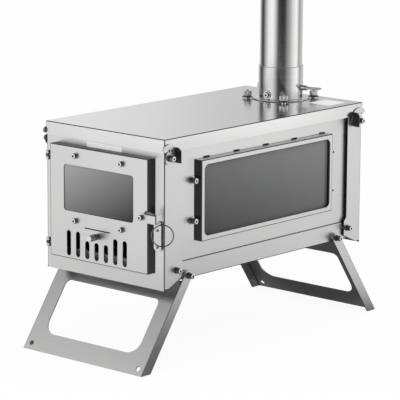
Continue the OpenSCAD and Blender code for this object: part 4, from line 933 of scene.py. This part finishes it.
# The floor shows white to the camera with a trace of the stove's shadow; in the steel it shows a painted
# shadow, a dark patch under the stove that fades to full white further out.
floor_half = 8.0
white_share = 0.93
floor = flat_card("floor", [(-floor_half, -floor_half, 0), (floor_half, -floor_half, 0),
                            (floor_half, floor_half, 0), (-floor_half, floor_half, 0)])
paper, nodes, links = new_material("pale_floor")
matt = nodes["Principled BSDF"]
matt.inputs["Base Color"].default_value = linear(0.9, 0.9, 0.9)
matt.inputs["Roughness"].default_value = 0.9
matt.inputs["Specular IOR Level"].default_value = 0.1
shown, by_camera = seen_directly(nodes, links)
place = nodes.new("ShaderNodeTexCoord")
away = nodes.new("ShaderNodeVectorMath")
away.operation = "LENGTH"
reach = nodes.new("ShaderNodeMapRange")
reach.inputs["From Max"].default_value = 2.0
painted_floor_shadow = tone_ramp(nodes, 0.12, (0.06, 0.06, 0.06), 0.9, (1.0, 1.0, 1.0))
for position, level in ((0.2, 0.7), (0.3, 0.92), (0.5, 1.0)):
    painted_floor_shadow.color_ramp.elements.new(position).color = linear(level, level, level)
whole = nodes.new("ShaderNodeMix")
whole.data_type = "RGBA"
whole.inputs["B"].default_value = linear(1.0, 1.0, 1.0)
glow = nodes.new("ShaderNodeEmission")
share = nodes.new("ShaderNodeMath")
share.operation = "MULTIPLY"
share.inputs[1].default_value = white_share
over = nodes.new("ShaderNodeMixShader")
links.new(place.outputs["Object"], away.inputs[0])
links.new(away.outputs["Value"], reach.inputs["Value"])
links.new(reach.outputs["Result"], painted_floor_shadow.inputs["Fac"])
links.new(by_camera, whole.inputs["Factor"])
links.new(painted_floor_shadow.outputs["Color"], whole.inputs["A"])
links.new(whole.outputs["Result"], glow.inputs["Color"])
links.new(shown, share.inputs[0])
links.new(share.outputs["Value"], over.inputs["Fac"])
links.new(matt.outputs["BSDF"], over.inputs[1])
links.new(glow.outputs["Emission"], over.inputs[2])
links.new(over.outputs["Shader"], nodes["Material Output"].inputs["Surface"])
floor.data.materials.append(paper)


# A ring round the stove that only reflections meet. Its light goes by bearing, in degrees from the front
# towards the right: dark to the left and to the front right, bright in front, at the rear right and behind.
ring_r_studio, ring_low, ring_high = 1.2, 0.085, 0.75
ring_sides = 96
ring_peak = 1.5
ring_levels = ((-180, 0.8), (-150, 0.66), (-140, 0.74), (-134, 0.88), (-125, 1.0), (-105, 0.5), (-90, 0.08),
               (-75, 0.1), (-53, 0.75), (-42, 1.1), (-27, 1.4), (-4, 1.4),
               (16, 0.6), (27, 0.1), (40, 0.05), (55, 0.03), (67, 0.06), (77, 0.3), (88, 0.5), (99, 0.7),
               (110, 1.1), (137, 1.5), (153, 0.5), (173, 0.8), (180, 0.8))


def reflected_only(card):
    """Keeps a card out of the picture: no camera, shadow or scattered light meets it."""
    card.visible_camera = False
    card.visible_diffuse = False
    card.visible_shadow = False
    card.visible_transmission = False


bearings = np.linspace(-np.pi, np.pi, ring_sides + 1)
ring_x, ring_y = ring_r_studio * np.sin(bearings), -ring_r_studio * np.cos(bearings)
rows = [np.stack([ring_x, ring_y, z + 0 * bearings], axis=1) for z in (ring_low, ring_high)]
index = np.arange(2 * (ring_sides + 1)).reshape(2, -1)
quads = np.stack([index[0, :-1], index[0, 1:], index[1, 1:], index[1, :-1]], axis=1)
data = bpy.data.meshes.new("studio_ring")
data.from_pydata(np.concatenate(rows), [], quads.tolist())
studio_ring = bpy.data.objects.new("studio_ring", data)
bpy.context.collection.objects.link(studio_ring)
reflected_only(studio_ring)
banded, nodes, links = new_material("studio_ring")
nodes.clear()
place = nodes.new("ShaderNodeTexCoord")
axes = nodes.new("ShaderNodeSeparateXYZ")
forward = nodes.new("ShaderNodeMath")
forward.operation = "MULTIPLY"
forward.inputs[1].default_value = -1.0
bearing = nodes.new("ShaderNodeMath")
bearing.operation = "ARCTAN2"
round_way = nodes.new("ShaderNodeMapRange")
round_way.inputs["From Min"].default_value = -math.pi
round_way.inputs["From Max"].default_value = math.pi
bands = nodes.new("ShaderNodeValToRGB")
for end, (degrees, level) in ((0, ring_levels[0]), (1, ring_levels[-1])):
    bands.color_ramp.elements[end].color = linear(*[level / ring_peak] * 3)
for degrees, level in ring_levels[1:-1]:
    bands.color_ramp.elements.new(degrees / 360 + 0.5).color = linear(*[level / ring_peak] * 3)
glow = nodes.new("ShaderNodeEmission")
glow.inputs["Strength"].default_value = ring_peak
links.new(place.outputs["Object"], axes.inputs["Vector"])
links.new(axes.outputs["Y"], forward.inputs[0])
links.new(axes.outputs["X"], bearing.inputs[0])
links.new(forward.outputs["Value"], bearing.inputs[1])
links.new(bearing.outputs["Value"], round_way.inputs["Value"])
links.new(round_way.outputs["Result"], bands.inputs["Fac"])
links.new(bands.outputs["Color"], glow.inputs["Color"])
links.new(glow.outputs["Emission"], nodes.new("ShaderNodeOutputMaterial").inputs["Surface"])
data.materials.append(banded)

# Small fill cards close to the walls of the door and the window boxes. They keep the mirror images of those
# dark walls off the bright sheet beside them, and are clear from behind.
fill_level = 0.95
fill_gap = 0.3 * mm
fill, nodes, links = new_material("fill_card")
nodes.clear()
glow = nodes.new("ShaderNodeEmission")
glow.inputs["Strength"].default_value = fill_level
clear = nodes.new("ShaderNodeBsdfTransparent")
behind = nodes.new("ShaderNodeNewGeometry")
one_sided = nodes.new("ShaderNodeMixShader")
links.new(behind.outputs["Backfacing"], one_sided.inputs["Fac"])
links.new(glow.outputs["Emission"], one_sided.inputs[1])
links.new(clear.outputs["BSDF"], one_sided.inputs[2])
links.new(one_sided.outputs["Shader"], nodes.new("ShaderNodeOutputMaterial").inputs["Surface"])


def fill_card(name, corners):
    """A fill card whose bright side is the one from which its corners run anticlockwise."""
    card = flat_card(name, corners)
    card.data.materials.append(fill)
    reflected_only(card)


low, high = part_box("door_shell")
x, ys = high.x + fill_gap, (low.y + fold_round, high.y - fill_gap)
fill_card("fill_door", [(x, ys[0], low.z), (x, ys[1], low.z), (x, ys[1], high.z), (x, ys[0], high.z)])
for side, s in (("left", -1), ("right", 1)):
    face = np.array([v.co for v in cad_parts["window_frame_" + side].data.vertices
                     if s * v.co.x > x_side + window_box_d - fill_gap])
    low, high = face.min(axis=0), face.max(axis=0)
    near, far = s * (x_side + fill_gap), s * (x_side + window_box_d - fold_round)
    y, z = low[1] - fill_gap, high[2] + fill_gap
    front = [(near, y, low[2]), (far, y, low[2]), (far, y, high[2]), (near, y, high[2])]
    over = [(near, low[1], z), (far, low[1], z), (far, high[1], z), (near, high[1], z)]
    fill_card("fill_front_" + side, front[::s])
    fill_card("fill_over_" + side, over[::s])

lamp = bpy.data.lights.new("softbox", "AREA")
lamp.shape = "RECTANGLE"
lamp.size, lamp.size_y = 1.6, 1.2
lamp.energy = 12.0
softbox = bpy.data.objects.new("softbox", lamp)
bpy.context.collection.objects.link(softbox)
softbox.matrix_world = (
    Matrix.Translation((0.9, -1.4, 1.7))
    @ Matrix.Rotation(math.radians(32), 4, "Z")
    @ Matrix.Rotation(math.radians(42), 4, "X")
)
softbox.visible_glossy = False


# Camera. A long lens from the front right and a little above, in the photograph's frame of 400 by 400.
view_bearing, view_pitch, view_roll = 41.597, 11.604, 0.297
view_place = (2.2514, -2.5473, 0.8794)
lens_px, picture_px, sensor = 2522.4, 400, 36.0
camera = bpy.data.cameras.new("camera")
camera.sensor_width = sensor
camera.lens = lens_px * sensor / picture_px
camera.clip_end = 50.0
viewer = bpy.data.objects.new("camera", camera)
bpy.context.collection.objects.link(viewer)
viewer.matrix_world = (
    Matrix.Translation(view_place)
    @ Matrix.Rotation(math.radians(view_bearing), 4, "Z")
    @ Matrix.Rotation(math.radians(90 - view_pitch), 4, "X")
    @ Matrix.Rotation(math.radians(view_roll), 4, "Z")
)
bpy.context.scene.camera = viewer
bpy.context.scene.view_settings.view_transform = "Standard"
